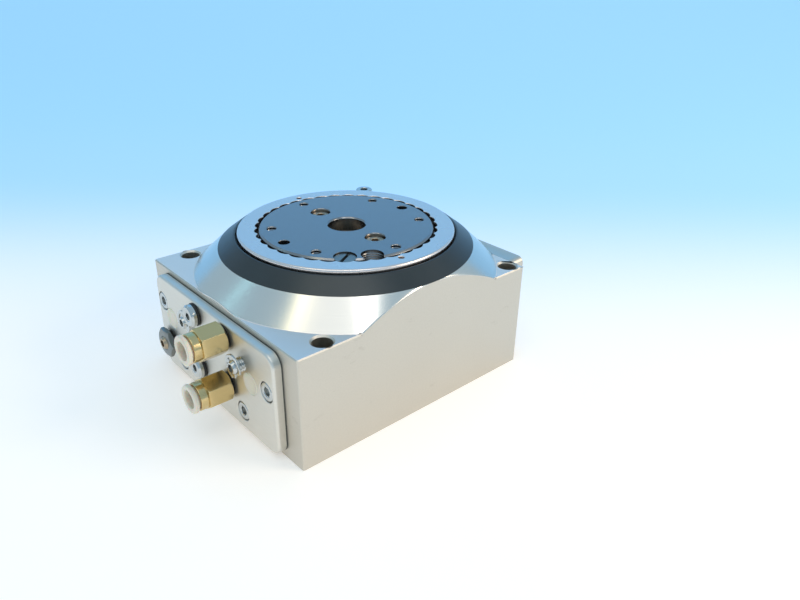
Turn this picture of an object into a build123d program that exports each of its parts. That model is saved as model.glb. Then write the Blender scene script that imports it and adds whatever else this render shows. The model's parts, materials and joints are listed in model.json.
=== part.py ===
from build123d import *
from math import atan2, cos, degrees, hypot, pi, radians, sin, sqrt, tan
import os

# A pneumatic rotary indexing table. Sizes are in millimetres.
# The origin is where the table's axis meets the mounting face, with Z up the axis.
# X runs along the two cylinders: the port face is at -X and the end cover at +X.

# Block
port_face_reach = 54.0
rear_face_reach = 46.0
block_height = 40.0
block_corner_chamfer = 0.8
cone_foot_margin = 0.07
cone_rise = 8.2
corner_hole_radius = 3.3
corner_hole_chamfer = 0.6
corner_hole_end_inset = 4.1
corner_hole_side_inset = 4.5

# Screws
socket_depth_share = 0.5
flat_head_socket_share = 2 / 3
countersink_taper = 45.0

# Clearances
running_clearance = 0.05
sliding_clearance = 0.05
turning_gap = 0.4
seat_clearance = 0.05
cut_margin = 1.0

# Rotary table
hub_gap = 0.4
hub_flange_inset = 0.4
hub_flange_thickness = 1.8
hub_body_radius = 31.5
hub_body_height = 2.2
hub_under_gap = 0.6
hub_journal_radius = 20.0
hub_bore_radius = 6.5
disc_seat_depth = 1.4
disc_radius = 31.4
disc_thickness = 5.3
disc_edge_chamfer = 0.7
disc_gap = 0.3
ring_width = 7.6
ring_thickness = 3.6
ring_edge_round = 0.9
ring_pin_hole_radius = 1.25
ring_pin_hole_reach = 3.2
ring_pin_hole_depth = 2.0
ring_pin_hole_angles = (85.0, -97.0)
notch_count = 36
key_circle_inset = 2.5
key_bore_radius = 4.1
key_bore_chamfer = 0.3
key_angle = -129.0
spare_key_angle = -111.0
notch_radius = 4.0
key_screw_gap = 0.05
key_screw_drop = 0.5
key_slot_width = 1.1
key_slot_depth = 1.4
key_slot_turn = -60.0
centre_hole_radius = 6.7
centre_hole_chamfer = 0.5
load_circle_inset = 4.53
load_hole_radius = 1.65
load_hole_chamfer = 0.4
load_hole_depth = 7.4
load_hole_angles = (30.0, 90.0, 150.0, 210.0, 270.0, 330.0)
dowel_hole_radius = 2.0
dowel_hole_depth = 5.0
dowel_hole_angles = (0.0, 180.0)
disc_screw_circle = 16.0
disc_screw_angles = (90.0, 270.0)
disc_screw_bore_radius = 3.6
disc_screw_bore_depth = 3.9
disc_screw_bore_chamfer = 0.3
disc_screw_head_radius = 3.3
disc_screw_head_height = 2.8
disc_screw_shank_radius = 2.0
disc_screw_length = 5.5
disc_screw_socket = 2.5
centre_bush_bore = 5.0
centre_bush_height = 4.6
centre_bush_drop = 0.4
pilot_bush_height = 8.5

# Cover ring and dust seal
cover_ring_rise = 4.4
cover_ring_gap = 0.6
cover_ring_rim = 0.6
cover_ring_width = 6.4
dust_seal_inset = 1.4
dust_seal_width = 1.2
dust_groove_depth = 1.0
dust_seal_gap = 0.1
dust_seal_lip = 0.4

# Crossed-roller bearing
bearing_bore_radius = 20.0
bearing_outer_radius = 30.0
bearing_height = 8.0
bearing_circle_radius = 25.0
bearing_ring_gap = 0.6
roller_radius = 1.9
roller_length = 3.6
roller_clearance = 0.12
roller_count = 30
clamp_ring_inset = 0.8
clamp_ring_thickness = 1.8
clamp_ring_bore_radius = 25.9
clamp_screw_inset = 3.4
clamp_screw_count = 6
clamp_screw_radius = 1.25
clamp_screw_head_radius = 2.3
clamp_screw_length = 6.0

# Index wheel and ratchet
wheel_radius = 26.5
wheel_thickness = 4.6
wheel_rim_inner_radius = 20.1
wheel_rim_outer_radius = 24.3
wheel_rim_height = 1.0
station_count = 12
station_circle = 21.5
ratchet_tip_radius = 12.5
ratchet_depth = 1.5
ratchet_pocket_width = 4.2
wheel_screw_circle = 17.5
wheel_screw_count = 6
wheel_screw_angle = 15.0
wheel_screw_radius = 1.5
wheel_screw_head_radius = 2.75
wheel_screw_head_height = 3.0
wheel_screw_counterbore_radius = 2.9
wheel_screw_length = 10.0
wheel_gap = 2.0
chamber_gap = 1.0

# Cylinders, racks and pinion
cylinder_radius = 8.0
cylinder_offset = 12.8
cylinder_height = 19.2
gear_module = 1.0
pinion_teeth = 16
pressure_angle = 20.0
tooth_backlash = 0.12
rack_addendum_factor = 0.9
dedendum_factor = 1.25
swing_angle = 180.0
pinion_face_width = 11.0
pinion_end_play = 0.3
gear_chamber_gap = 0.4
piston_head_length = 10.0
piston_end_play = 0.4
piston_clearance = 0.05
rack_rod_radius = 7.4
piston_groove_width = 3.0
piston_groove_depth = 1.4
rack_run_out = 4.0
bumper_radius = 2.4
bumper_thickness = 1.5
shaft_radius = 5.0
shaft_collar_radius = 6.0
shaft_foot_gap = 0.6
pilot_radius = 4.5
lower_bush_radius = 8.0
pilot_bush_gap = 0.5

# Pawl
carrier_thickness = 3.4
carrier_radius = 10.4
carrier_boss_radius = 6.6
carrier_lift = 0.4
carrier_clip_radius = 5.9
carrier_clip_thickness = 0.6
pawl_thickness = 1.8
pawl_lift = 0.2
pawl_pin_circle = 8.9
pawl_pin_radius = 0.9
pawl_boss_radius = 1.9
pawl_back_radius = 10.7
pawl_belly_radius = 8.3
pawl_tip_radius = 12.2
pawl_heel_angle = 4.0
pawl_shoulder_angle = 24.0
pawl_tip_angle = 42.0
pawl_tip_width = 6.0
pawl_nose_width = 8.0

# Locking bolt
bolt_piston_radius = 3.6
bolt_stem_radius = 2.5
bolt_tip_radius = 1.6
bolt_tip_length = 1.4
bolt_piston_length = 5.0
bolt_piston_floor = 8.0
bolt_travel = 2.6
bolt_bush_length = 8.2
socket_clearance = 0.12

# Base cover
base_cover_radius = 27.0
base_cover_thickness = 4.0
base_screw_circle = 22.5
base_screw_count = 6
base_screw_angle = 30.0
base_screw_radius = 1.5
base_screw_head_radius = 2.8
base_screw_length = 9.0
screw_recess = 0.2

# Port face. Places are (across, height), with across to the right for someone facing it.
gasket_thickness = 0.4
port_plate_thickness = 3.0
port_plate_right = 38.0
port_plate_left = 39.0
channel_width = 3.0
channel_depth = 1.2
port_plate_bottom = 1.5
port_plate_top = 38.2
port_plate_corner = 4.5
port_plate_round = 0.9
port_across = 9.5
upper_port_height = 33.3
lower_port_height = 15.3
lower_plug_height = 13.0
port_thread_radius = 2.5
passage_radius = 1.25
plate_screw_places = ((33.3, 24.3), (17.5, 8.6), (-35.0, 28.2), (-24.5, 7.8))
plate_screw_radius = 2.0
plate_screw_head_radius = 3.2
plate_screw_head_height = 2.4
plate_screw_bore_radius = 3.5
plate_screw_bore_depth = 2.5
plate_screw_length = 11.0
plate_screw_socket = 3.0
cap_places = ((24.0, 22.5), (-29.2, 23.4))
cap_radius = 3.9
cap_thickness = 2.0
cap_proud = 0.15
cap_edge_chamfer = 0.3

# Plugs in the two spare ports
seal_radius = 4.1
seal_thickness = 0.9
plug_head_radius = 3.95
plug_head_height = 2.0
plug_chamfer = 0.5
plug_socket = 2.5
plug_socket_depth = 1.6

# Push-in fittings
fitting_hex = 10.0
fitting_hex_length = 8.6
fitting_hex_chamfer = 0.7
fitting_barrel_radius = 4.8
fitting_barrel_length = 2.8
fitting_turns = (40.0, 34.0)
tube_radius = 3.05
tube_stop_depth = 9.0
tube_seal_height = 1.5
tube_seal_offset = 2.6
collet_room_radius = 3.95
collet_radius = 3.7
collet_clear = 1.2
release_radius = 5.0
release_thickness = 1.4
release_gap = 0.7
release_round = 0.5

# Flow-control screws
flow_places = ((19.5, 27.7), (-17.3, 27.2))
flow_reaches = (3.9, 1.9)
flow_radius = 2.45
flow_tip_radius = 2.25
flow_tip_length = 0.6
flow_tip_gap = 0.1
flow_socket = 2.5
flow_socket_depth = 1.5
clip_thickness = 0.6
clip_radius = 4.4
clip_band = 1.1
clip_prong = 1.3
clip_prong_width = 1.8
clip_groove_depth = 0.5
clip_setback = 0.7
clip_opening = 6.0
clip_turns = (215.0, 160.0)

# Stop screw with its lock nut
stop_place = (-32.4, 12.8)
stop_radius = 2.5
stop_reach = 0.9
stop_depth = 8.0
stop_nut_hex = 10.0
stop_nut_height = 2.0
stop_socket = 2.5
stop_socket_depth = 2.0

# End cover
end_cover_thickness = 7.1
end_cover_half_width = 40.0
end_cover_bottom = 1.5
end_cover_top = 39.6
end_cover_corner = 2.5
end_cover_chamfer = 0.6
end_screw_across = 33.0
end_screw_low = 7.5
end_screw_high = 31.5
end_screw_radius = 2.0
end_screw_head_radius = 3.5
end_screw_head_height = 4.0
end_screw_bore_radius = 3.8
end_screw_bore_depth = 4.4
end_screw_length = 12.0
end_screw_socket = 3.0

# Locating screw in one corner hole
corner_screw_head_radius = 3.5
corner_screw_head_height = 4.0
corner_screw_stand_off = 3.8
corner_screw_shoulder_depth = 8.0
corner_screw_socket = 3.0
corner_screw_chamfer = 0.4

# Heights and lengths that follow from the sizes above
deck_z = block_height + cone_rise
flange_bottom = deck_z + hub_gap
flange_top = flange_bottom + hub_flange_thickness
disc_bottom = flange_top - disc_seat_depth
disc_top = disc_bottom + disc_thickness
ring_bottom = flange_top
ring_top = ring_bottom + ring_thickness
hub_body_bottom = flange_bottom - hub_body_height
bearing_top = hub_body_bottom - clamp_ring_thickness - hub_under_gap
bearing_bottom = bearing_top - bearing_height
bearing_mid = (bearing_top + bearing_bottom) / 2
hub_foot = bearing_bottom - wheel_rim_height
wheel_bottom = hub_foot - wheel_thickness
chamber_floor = wheel_bottom - wheel_gap
pinion_pitch_radius = gear_module * pinion_teeth / 2
pinion_tip_radius = pinion_pitch_radius + gear_module
pinion_root_radius = pinion_pitch_radius - dedendum_factor * gear_module
pinion_bottom = cylinder_height - pinion_face_width / 2
pinion_top = cylinder_height + pinion_face_width / 2
gear_floor = pinion_bottom - pinion_end_play
gear_chamber_radius = pinion_tip_radius + gear_chamber_gap
carrier_bottom = wheel_bottom + carrier_lift
carrier_top = carrier_bottom + carrier_thickness
stroke = pinion_pitch_radius * radians(swing_angle)
chamber_radius = wheel_radius + chamber_gap
ring_outer_radius = disc_radius + ring_width
ring_pin_hole_circle = disc_radius + ring_pin_hole_reach
key_circle_radius = disc_radius - key_circle_inset
load_circle_radius = disc_radius - load_circle_inset
hub_flange_radius = ring_outer_radius - hub_flange_inset
dust_seal_inner_radius = hub_flange_radius - dust_seal_inset
clamp_ring_radius = dust_seal_inner_radius - clamp_ring_inset
clamp_screw_circle = clamp_ring_radius - clamp_screw_inset
cover_ring_bore_radius = ring_outer_radius + cover_ring_gap
cover_ring_top_radius = cover_ring_bore_radius + cover_ring_rim
cone_top_radius = cover_ring_bore_radius + cover_ring_width
block_half_width = cone_top_radius
corner_hole_x = rear_face_reach - corner_hole_end_inset
corner_hole_y = block_half_width - corner_hole_side_inset
corner_rim_radius = corner_hole_radius + corner_hole_chamfer
cone_foot_radius = hypot(corner_hole_x, corner_hole_y) - corner_rim_radius - cone_foot_margin
cylinder_length = port_face_reach + rear_face_reach
cylinder_centre = (rear_face_reach - port_face_reach) / 2
piston_length = cylinder_length - 2 * bumper_thickness - stroke - piston_end_play
plate_back = gasket_thickness
plate_front = gasket_thickness + port_plate_thickness
groove_floor = deck_z - dust_groove_depth
key_z = disc_top - key_screw_drop
half_notch = pi / notch_count
notch_tip_radius = key_circle_radius * cos(half_notch) + sqrt(
    notch_radius**2 - (key_circle_radius * sin(half_notch)) ** 2
)

os.makedirs("parts", exist_ok=True)


def port_plane(depth, place=(0.0, 0.0)):
    """A plane that faces out of the port face, that far in front of the block."""
    across, height = place
    origin = (-port_face_reach - depth, -across, height)
    return Plane(origin=origin, x_dir=(0, -1, 0), z_dir=(-1, 0, 0))


def rear_plane(depth, place=(0.0, 0.0)):
    """A plane that faces out of the rear face, that far behind the block."""
    across, height = place
    origin = (rear_face_reach + depth, across, height)
    return Plane(origin=origin, x_dir=(0, 1, 0), z_dir=(1, 0, 0))


def port_section(place):
    """The plane of a turned outline: x leads out of the port face, y is the radius."""
    across, height = place
    origin = (-port_face_reach, -across, height)
    return Plane(origin=origin, x_dir=(-1, 0, 0), z_dir=(0, 1, 0))


def port_axis(place):
    """The axis that leads out of the port face at that place."""
    across, height = place
    return Axis((-port_face_reach, -across, height), (-1, 0, 0))


def polar_place(radius, angle):
    """The point at that radius and angle in degrees."""
    return (radius * cos(radians(angle)), radius * sin(radians(angle)))


def save(piece, label):
    """Names a finished piece and writes it to its own file."""
    piece.part.label = label
    export_step(piece.part, f"parts/{label}.step")


def turned(outline):
    """A piece turned about the table's axis from an outline of (radius, height)."""
    with BuildPart() as piece:
        with BuildSketch(Plane.XZ):
            with BuildLine():
                Polyline(*outline, close=True)
            make_face()
        revolve(axis=Axis.Z)
    return piece


def turned_at_port(outline, place):
    """A piece turned about a port's axis from an outline of (reach, radius)."""
    with BuildPart() as piece:
        with BuildSketch(port_section(place)):
            with BuildLine():
                Polyline(*outline, close=True)
            make_face()
        revolve(axis=port_axis(place))
    return piece


def washer(plane, outer_radius, inner_radius, thickness):
    """A flat ring that grows from the given plane."""
    with BuildPart() as piece:
        with BuildSketch(plane):
            Circle(outer_radius)
            Circle(inner_radius, mode=Mode.SUBTRACT)
        extrude(amount=thickness)
    return piece


def cap_screw(plane, head_radius, head_height, shank_radius, length, socket):
    """A socket-head screw whose head stands on the plane and whose shank goes below it."""
    with BuildPart() as piece:
        with BuildSketch(plane):
            Circle(head_radius)
        extrude(amount=head_height)
        with BuildSketch(plane):
            Circle(shank_radius)
        extrude(amount=-length)
        with BuildSketch(plane.offset(head_height)):
            RegularPolygon(socket / 2, 6, major_radius=False)
        extrude(amount=-head_height * socket_depth_share, mode=Mode.SUBTRACT)
    return piece


def countersunk_screw(plane, head_radius, shank_radius, length):
    """A flat-head screw whose head ends in the plane and whose shank goes below it."""
    head_depth = head_radius - shank_radius
    with BuildPart() as piece:
        with BuildSketch(plane):
            Circle(head_radius)
        with BuildSketch(plane.offset(-head_depth)):
            Circle(shank_radius)
        loft()
        with BuildSketch(plane.offset(-head_depth)):
            Circle(shank_radius)
        extrude(amount=-(length - head_depth))
        with BuildSketch(plane):
            RegularPolygon(shank_radius * flat_head_socket_share, 6, major_radius=False)
        extrude(amount=-head_depth * socket_depth_share, mode=Mode.SUBTRACT)
    return piece


def group(pieces, label):
    """Several like pieces that share one file, each as its own solid."""
    children = []
    for piece in pieces:
        children.extend(piece.part.solids())
    bundle = Compound(children=children, label=label)
    export_step(bundle, f"parts/{label}.step")


# The block: a machined body with a turned cone, cut flat by its four sides
with BuildPart() as housing:
    with BuildSketch():
        with Locations((cylinder_centre, 0)):
            Rectangle(cylinder_length, 2 * block_half_width)
    extrude(amount=deck_z)
    chamfer(housing.edges().filter_by(Axis.Z), block_corner_chamfer)
    # All that stands outside the cone above the four corner flats is turned away.
    cone_slope = (cone_foot_radius - cone_top_radius) / cone_rise
    far_radius = 2 * cone_foot_radius
    with BuildSketch(Plane.XZ):
        with BuildLine():
            Polyline(
                (cone_foot_radius, block_height),
                (far_radius, block_height),
                (far_radius, deck_z + cut_margin),
                (cone_top_radius - cut_margin * cone_slope, deck_z + cut_margin),
                close=True,
            )
        make_face()
    revolve(axis=Axis.Z, mode=Mode.SUBTRACT)
    # The stepped bore takes the base cover, lower bush, pinion, index wheel and bearing.
    with BuildSketch(Plane.XZ):
        with BuildLine():
            Polyline(
                (0, -cut_margin),
                (base_cover_radius + seat_clearance, -cut_margin),
                (base_cover_radius + seat_clearance, base_cover_thickness),
                (lower_bush_radius, base_cover_thickness),
                (lower_bush_radius, gear_floor),
                (gear_chamber_radius, gear_floor),
                (gear_chamber_radius, chamber_floor),
                (chamber_radius, chamber_floor),
                (chamber_radius, bearing_bottom),
                (bearing_outer_radius, bearing_bottom),
                (bearing_outer_radius, bearing_top),
                (clamp_ring_radius + seat_clearance, bearing_top),
                (clamp_ring_radius + seat_clearance, deck_z + cut_margin),
                (0, deck_z + cut_margin),
                close=True,
            )
        make_face()
    revolve(axis=Axis.Z, mode=Mode.SUBTRACT)
    with BuildSketch(Plane.XY.offset(deck_z)):
        Circle(dust_seal_inner_radius + dust_seal_width + seat_clearance)
        Circle(dust_seal_inner_radius - seat_clearance, mode=Mode.SUBTRACT)
    extrude(amount=-dust_groove_depth, mode=Mode.SUBTRACT)
    # Two cylinders run from face to face.
    with BuildSketch(port_plane(cut_margin)):
        with Locations(
            (cylinder_offset, cylinder_height), (-cylinder_offset, cylinder_height)
        ):
            Circle(cylinder_radius)
    extrude(amount=-(cylinder_length + 2 * cut_margin), mode=Mode.SUBTRACT)
    # The locking bolt's bore rises from the base cover to the index chamber.
    with BuildSketch(Plane.XY.offset(base_cover_thickness)):
        with Locations((-station_circle, 0)):
            Circle(bolt_piston_radius)
    extrude(amount=chamber_floor - base_cover_thickness, mode=Mode.SUBTRACT)
    # Mounting holes in the four corners.
    with BuildSketch(Plane.XY.offset(block_height)):
        for side_x in (-1, 1):
            for side_y in (-1, 1):
                with Locations((side_x * corner_hole_x, side_y * corner_hole_y)):
                    Circle(corner_hole_radius)
    extrude(amount=-block_height, mode=Mode.SUBTRACT)
    corner_rims = (
        housing.edges()
        .filter_by(GeomType.CIRCLE)
        .filter_by_position(Axis.Z, block_height, block_height)
        .filter_by(lambda rim: abs(rim.radius - corner_hole_radius) < seat_clearance)
    )
    chamfer(corner_rims, corner_hole_chamfer)
    # Tapped holes for the clamp ring and the base cover.
    with BuildSketch(Plane.XY.offset(bearing_top)):
        with PolarLocations(clamp_screw_circle, clamp_screw_count):
            Circle(clamp_screw_radius)
    extrude(amount=clamp_ring_thickness - clamp_screw_length, mode=Mode.SUBTRACT)
    with BuildSketch(Plane.XY.offset(base_cover_thickness)):
        with PolarLocations(base_screw_circle, base_screw_count, base_screw_angle):
            Circle(base_screw_radius)
    base_thread = base_screw_length - base_cover_thickness + screw_recess
    extrude(amount=base_thread, mode=Mode.SUBTRACT)
    # Tapped holes in the port face.
    with BuildSketch(port_plane(0)):
        with Locations(*plate_screw_places):
            Circle(plate_screw_radius)
    plate_seat = plate_front - plate_screw_bore_depth
    extrude(amount=plate_seat - plate_screw_length, mode=Mode.SUBTRACT)
    with BuildSketch(port_plane(0)):
        with Locations(stop_place):
            Circle(stop_radius)
    extrude(amount=-stop_depth, mode=Mode.SUBTRACT)
    # Tapped holes for the end cover.
    with BuildSketch(rear_plane(0)):
        for side in (-1, 1):
            for height in (end_screw_low, end_screw_high):
                with Locations((side * end_screw_across, height)):
                    Circle(end_screw_radius)
    end_seat = gasket_thickness + end_cover_thickness - end_screw_bore_depth
    extrude(amount=end_seat - end_screw_length, mode=Mode.SUBTRACT)
save(housing, "housing")


# Base cover with countersunk holes, and its screws
with BuildPart() as base_cover:
    with BuildSketch():
        Circle(base_cover_radius)
    extrude(amount=base_cover_thickness)
    sink = base_screw_head_radius - base_screw_radius
    with BuildSketch():
        with PolarLocations(base_screw_circle, base_screw_count, base_screw_angle):
            Circle(base_screw_radius)
    extrude(amount=base_cover_thickness, mode=Mode.SUBTRACT)
    with BuildSketch():
        with PolarLocations(base_screw_circle, base_screw_count, base_screw_angle):
            Circle(base_screw_head_radius)
    extrude(amount=screw_recess, mode=Mode.SUBTRACT)
    with BuildSketch(Plane.XY.offset(screw_recess)):
        with PolarLocations(base_screw_circle, base_screw_count, base_screw_angle):
            Circle(base_screw_head_radius)
    extrude(amount=sink, taper=countersink_taper, mode=Mode.SUBTRACT)
save(base_cover, "base_cover")

base_screws = []
for index in range(base_screw_count):
    angle = base_screw_angle + index * 360 / base_screw_count
    x, y = polar_place(base_screw_circle, angle)
    seat = Plane(origin=(x, y, screw_recess), x_dir=(1, 0, 0), z_dir=(0, 0, -1))
    base_screws.append(
        countersunk_screw(seat, base_screw_head_radius, base_screw_radius, base_screw_length)
    )
group(base_screws, "base_cover_screws")


# Black cover ring that carries the cone's slope on up to the table
cover_ring = turned(
    [
        (cone_top_radius, deck_z),
        (cover_ring_top_radius, deck_z + cover_ring_rise),
        (cover_ring_bore_radius, deck_z + cover_ring_rise),
        (cover_ring_bore_radius, deck_z),
    ]
)
save(cover_ring, "cover_ring")

# Dust seal, in a groove under the table's flange
dust_seal_outer_radius = dust_seal_inner_radius + dust_seal_width
dust_seal = turned(
    [
        (dust_seal_inner_radius, groove_floor),
        (dust_seal_outer_radius, groove_floor),
        (dust_seal_outer_radius, deck_z),
        (dust_seal_outer_radius - dust_seal_lip, flange_bottom - dust_seal_gap),
        (dust_seal_inner_radius + dust_seal_lip, flange_bottom - dust_seal_gap),
        (dust_seal_inner_radius, deck_z),
    ]
)
save(dust_seal, "dust_seal")


# Crossed-roller bearing: two rings with facing V grooves, and rollers that lean in turn
groove_half_mouth = (roller_radius + roller_clearance) * sqrt(2)
ring_half_gap = bearing_ring_gap / 2
groove_half_height = groove_half_mouth - ring_half_gap
bearing_inner_face = bearing_circle_radius - ring_half_gap
bearing_outer_face = bearing_circle_radius + ring_half_gap

bearing_inner_ring = turned(
    [
        (bearing_bore_radius, bearing_bottom),
        (bearing_inner_face, bearing_bottom),
        (bearing_inner_face, bearing_mid - groove_half_height),
        (bearing_circle_radius - groove_half_mouth, bearing_mid),
        (bearing_inner_face, bearing_mid + groove_half_height),
        (bearing_inner_face, bearing_top),
        (bearing_bore_radius, bearing_top),
    ]
)
save(bearing_inner_ring, "bearing_inner_ring")

bearing_outer_ring = turned(
    [
        (bearing_outer_radius, bearing_bottom),
        (bearing_outer_face, bearing_bottom),
        (bearing_outer_face, bearing_mid - groove_half_height),
        (bearing_circle_radius + groove_half_mouth, bearing_mid),
        (bearing_outer_face, bearing_mid + groove_half_height),
        (bearing_outer_face, bearing_top),
        (bearing_outer_radius, bearing_top),
    ]
)
save(bearing_outer_ring, "bearing_outer_ring")

rollers = []
for index in range(roller_count):
    angle = index * 360 / roller_count
    lean = 1 if index % 2 else -1
    x, y = polar_place(bearing_circle_radius, angle)
    roller_axis = (cos(radians(angle)), sin(radians(angle)), lean)
    roller_plane = Plane(origin=(x, y, bearing_mid), z_dir=roller_axis)
    with BuildPart() as roller:
        with BuildSketch(roller_plane.offset(-roller_length / 2)):
            Circle(roller_radius)
        extrude(amount=roller_length)
    rollers.append(roller)
group(rollers, "bearing_rollers")

# Clamp ring over the bearing's outer ring, with countersunk screws
with BuildPart() as clamp_ring:
    with BuildSketch(Plane.XY.offset(bearing_top)):
        Circle(clamp_ring_radius)
        Circle(clamp_ring_bore_radius, mode=Mode.SUBTRACT)
        with PolarLocations(clamp_screw_circle, clamp_screw_count):
            Circle(clamp_screw_radius, mode=Mode.SUBTRACT)
    extrude(amount=clamp_ring_thickness)
    with BuildSketch(Plane.XY.offset(bearing_top + clamp_ring_thickness)):
        with PolarLocations(clamp_screw_circle, clamp_screw_count):
            Circle(clamp_screw_head_radius)
    clamp_sink = clamp_screw_head_radius - clamp_screw_radius
    extrude(amount=-clamp_sink, taper=countersink_taper, mode=Mode.SUBTRACT)
save(clamp_ring, "bearing_clamp_ring")

clamp_screws = []
for index in range(clamp_screw_count):
    x, y = polar_place(clamp_screw_circle, index * 360 / clamp_screw_count)
    seat = Plane(origin=(x, y, bearing_top + clamp_ring_thickness))
    clamp_screws.append(
        countersunk_screw(
            seat, clamp_screw_head_radius, clamp_screw_radius, clamp_screw_length
        )
    )
group(clamp_screws, "clamp_ring_screws")


# Table hub: one turned piece with the flange, the bearing journal and a bore
with BuildPart() as table_hub:
    with BuildSketch(Plane.XZ):
        with BuildLine():
            Polyline(
                (hub_bore_radius, hub_foot),
                (hub_journal_radius, hub_foot),
                (hub_journal_radius, bearing_top),
                (wheel_rim_outer_radius, bearing_top),
                (wheel_rim_outer_radius, hub_body_bottom),
                (hub_body_radius, hub_body_bottom),
                (hub_body_radius, flange_bottom),
                (hub_flange_radius, flange_bottom),
                (hub_flange_radius, flange_top),
                (disc_radius + disc_gap, flange_top),
                (disc_radius + disc_gap, disc_bottom),
                (hub_bore_radius, disc_bottom),
                close=True,
            )
        make_face()
    revolve(axis=Axis.Z)
    with BuildSketch(Plane.XY.offset(disc_bottom)):
        for angle in load_hole_angles:
            with Locations(polar_place(load_circle_radius, angle)):
                Circle(load_hole_radius)
    extrude(amount=disc_thickness - load_hole_depth, mode=Mode.SUBTRACT)
    with BuildSketch(Plane.XY.offset(disc_bottom)):
        for angle in disc_screw_angles:
            with Locations(polar_place(disc_screw_circle, angle)):
                Circle(disc_screw_shank_radius)
    disc_screw_seat = disc_top - disc_screw_bore_depth
    extrude(amount=disc_screw_seat - disc_screw_length - disc_bottom, mode=Mode.SUBTRACT)
    with BuildSketch(Plane.XY.offset(hub_foot)):
        with PolarLocations(wheel_screw_circle, wheel_screw_count, wheel_screw_angle):
            Circle(wheel_screw_radius)
    wheel_screw_seat = wheel_bottom + wheel_screw_head_height
    extrude(amount=wheel_screw_seat + wheel_screw_length - hub_foot, mode=Mode.SUBTRACT)
save(table_hub, "table_hub")


# Load disc: the steel face that a fixture bolts to
with BuildPart() as load_disc:
    with BuildSketch(Plane.XY.offset(disc_bottom)):
        Circle(disc_radius)
        Circle(centre_hole_radius, mode=Mode.SUBTRACT)
        for angle in load_hole_angles:
            with Locations(polar_place(load_circle_radius, angle)):
                Circle(load_hole_radius, mode=Mode.SUBTRACT)
        for angle in disc_screw_angles:
            with Locations(polar_place(disc_screw_circle, angle)):
                Circle(disc_screw_shank_radius, mode=Mode.SUBTRACT)
    extrude(amount=disc_thickness)
    disc_face = Plane.XY.offset(disc_top)
    chamfer(
        load_disc.faces().sort_by(Axis.Z)[-1].outer_wire().edges(), disc_edge_chamfer
    )
    with BuildSketch(disc_face):
        for angle in dowel_hole_angles:
            with Locations(polar_place(load_circle_radius, angle)):
                Circle(dowel_hole_radius)
    extrude(amount=-dowel_hole_depth, mode=Mode.SUBTRACT)
    with BuildSketch(disc_face):
        for angle in disc_screw_angles:
            with Locations(polar_place(disc_screw_circle, angle)):
                Circle(disc_screw_bore_radius)
    extrude(amount=-disc_screw_bore_depth, mode=Mode.SUBTRACT)
    with BuildSketch(disc_face):
        for angle in (key_angle, spare_key_angle):
            with Locations(polar_place(key_circle_radius, angle)):
                Circle(key_bore_radius)
    extrude(amount=-disc_thickness, mode=Mode.SUBTRACT)
    top_rims = (
        load_disc.edges()
        .filter_by(GeomType.CIRCLE)
        .filter_by_position(Axis.Z, disc_top, disc_top)
    )
    for rim_radius, rim_chamfer in (
        (centre_hole_radius, centre_hole_chamfer),
        (load_hole_radius, load_hole_chamfer),
        (disc_screw_bore_radius, disc_screw_bore_chamfer),
    ):
        chamfer(
            top_rims.filter_by(lambda rim: abs(rim.radius - rim_radius) < seat_clearance),
            rim_chamfer,
        )
    lower_rim = (
        load_disc.edges()
        .filter_by(GeomType.CIRCLE)
        .filter_by_position(Axis.Z, disc_bottom, disc_bottom)
        .filter_by(lambda rim: abs(rim.radius - centre_hole_radius) < seat_clearance)
    )
    chamfer(lower_rim, centre_hole_chamfer)
save(load_disc, "load_disc")

disc_screws = []
for angle in disc_screw_angles:
    x, y = polar_place(disc_screw_circle, angle)
    disc_screws.append(
        cap_screw(
            Plane(origin=(x, y, disc_screw_seat)),
            disc_screw_head_radius,
            disc_screw_head_height,
            disc_screw_shank_radius,
            disc_screw_length,
            disc_screw_socket,
        )
    )
group(disc_screws, "load_disc_screws")


# Scalloped setting ring: the notches take the side of the key screw
with BuildPart() as setting_ring:
    with BuildSketch(Plane.XY.offset(ring_bottom)):
        Circle(ring_outer_radius)
        Circle(notch_tip_radius, mode=Mode.SUBTRACT)
        with PolarLocations(key_circle_radius, notch_count, key_angle):
            Circle(notch_radius, mode=Mode.SUBTRACT)
    extrude(amount=ring_thickness)
    outer_rim = (
        setting_ring.edges()
        .filter_by(GeomType.CIRCLE)
        .filter_by_position(Axis.Z, ring_top, ring_top)
        .filter_by(lambda rim: abs(rim.radius - ring_outer_radius) < seat_clearance)
    )
    fillet(outer_rim, ring_edge_round)
    with BuildSketch(Plane.XY.offset(ring_top)):
        for angle in ring_pin_hole_angles:
            with Locations(polar_place(ring_pin_hole_circle, angle)):
                Circle(ring_pin_hole_radius)
    extrude(amount=-ring_pin_hole_depth, mode=Mode.SUBTRACT)
save(setting_ring, "setting_ring")

# Key screw with a slot: it pins the disc to the setting ring
key_x, key_y = polar_place(key_circle_radius, key_angle)
key_plane = Plane(origin=(key_x, key_y, key_z))
with BuildPart() as key_screw:
    with BuildSketch(key_plane):
        Circle(notch_radius - running_clearance)
    extrude(amount=ring_bottom + key_screw_gap - key_z)
    chamfer(key_screw.faces().sort_by(Axis.Z)[-1].edges(), key_bore_chamfer)
    with BuildSketch(key_plane):
        Rectangle(key_slot_width, 2 * key_bore_radius, rotation=key_slot_turn)
    extrude(amount=-key_slot_depth, mode=Mode.SUBTRACT)
save(key_screw, "key_screw")


# Bushes in the hub: one to pilot the drive shaft, one that lines the centre hole
pilot_bush = washer(
    Plane.XY.offset(hub_foot),
    hub_bore_radius,
    pilot_radius + running_clearance,
    pilot_bush_height,
)
save(pilot_bush, "pilot_bush")

centre_bush = washer(
    Plane.XY.offset(disc_bottom - centre_bush_drop - centre_bush_height),
    hub_bore_radius,
    centre_bush_bore,
    centre_bush_height,
)
save(centre_bush, "centre_bush")


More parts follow.
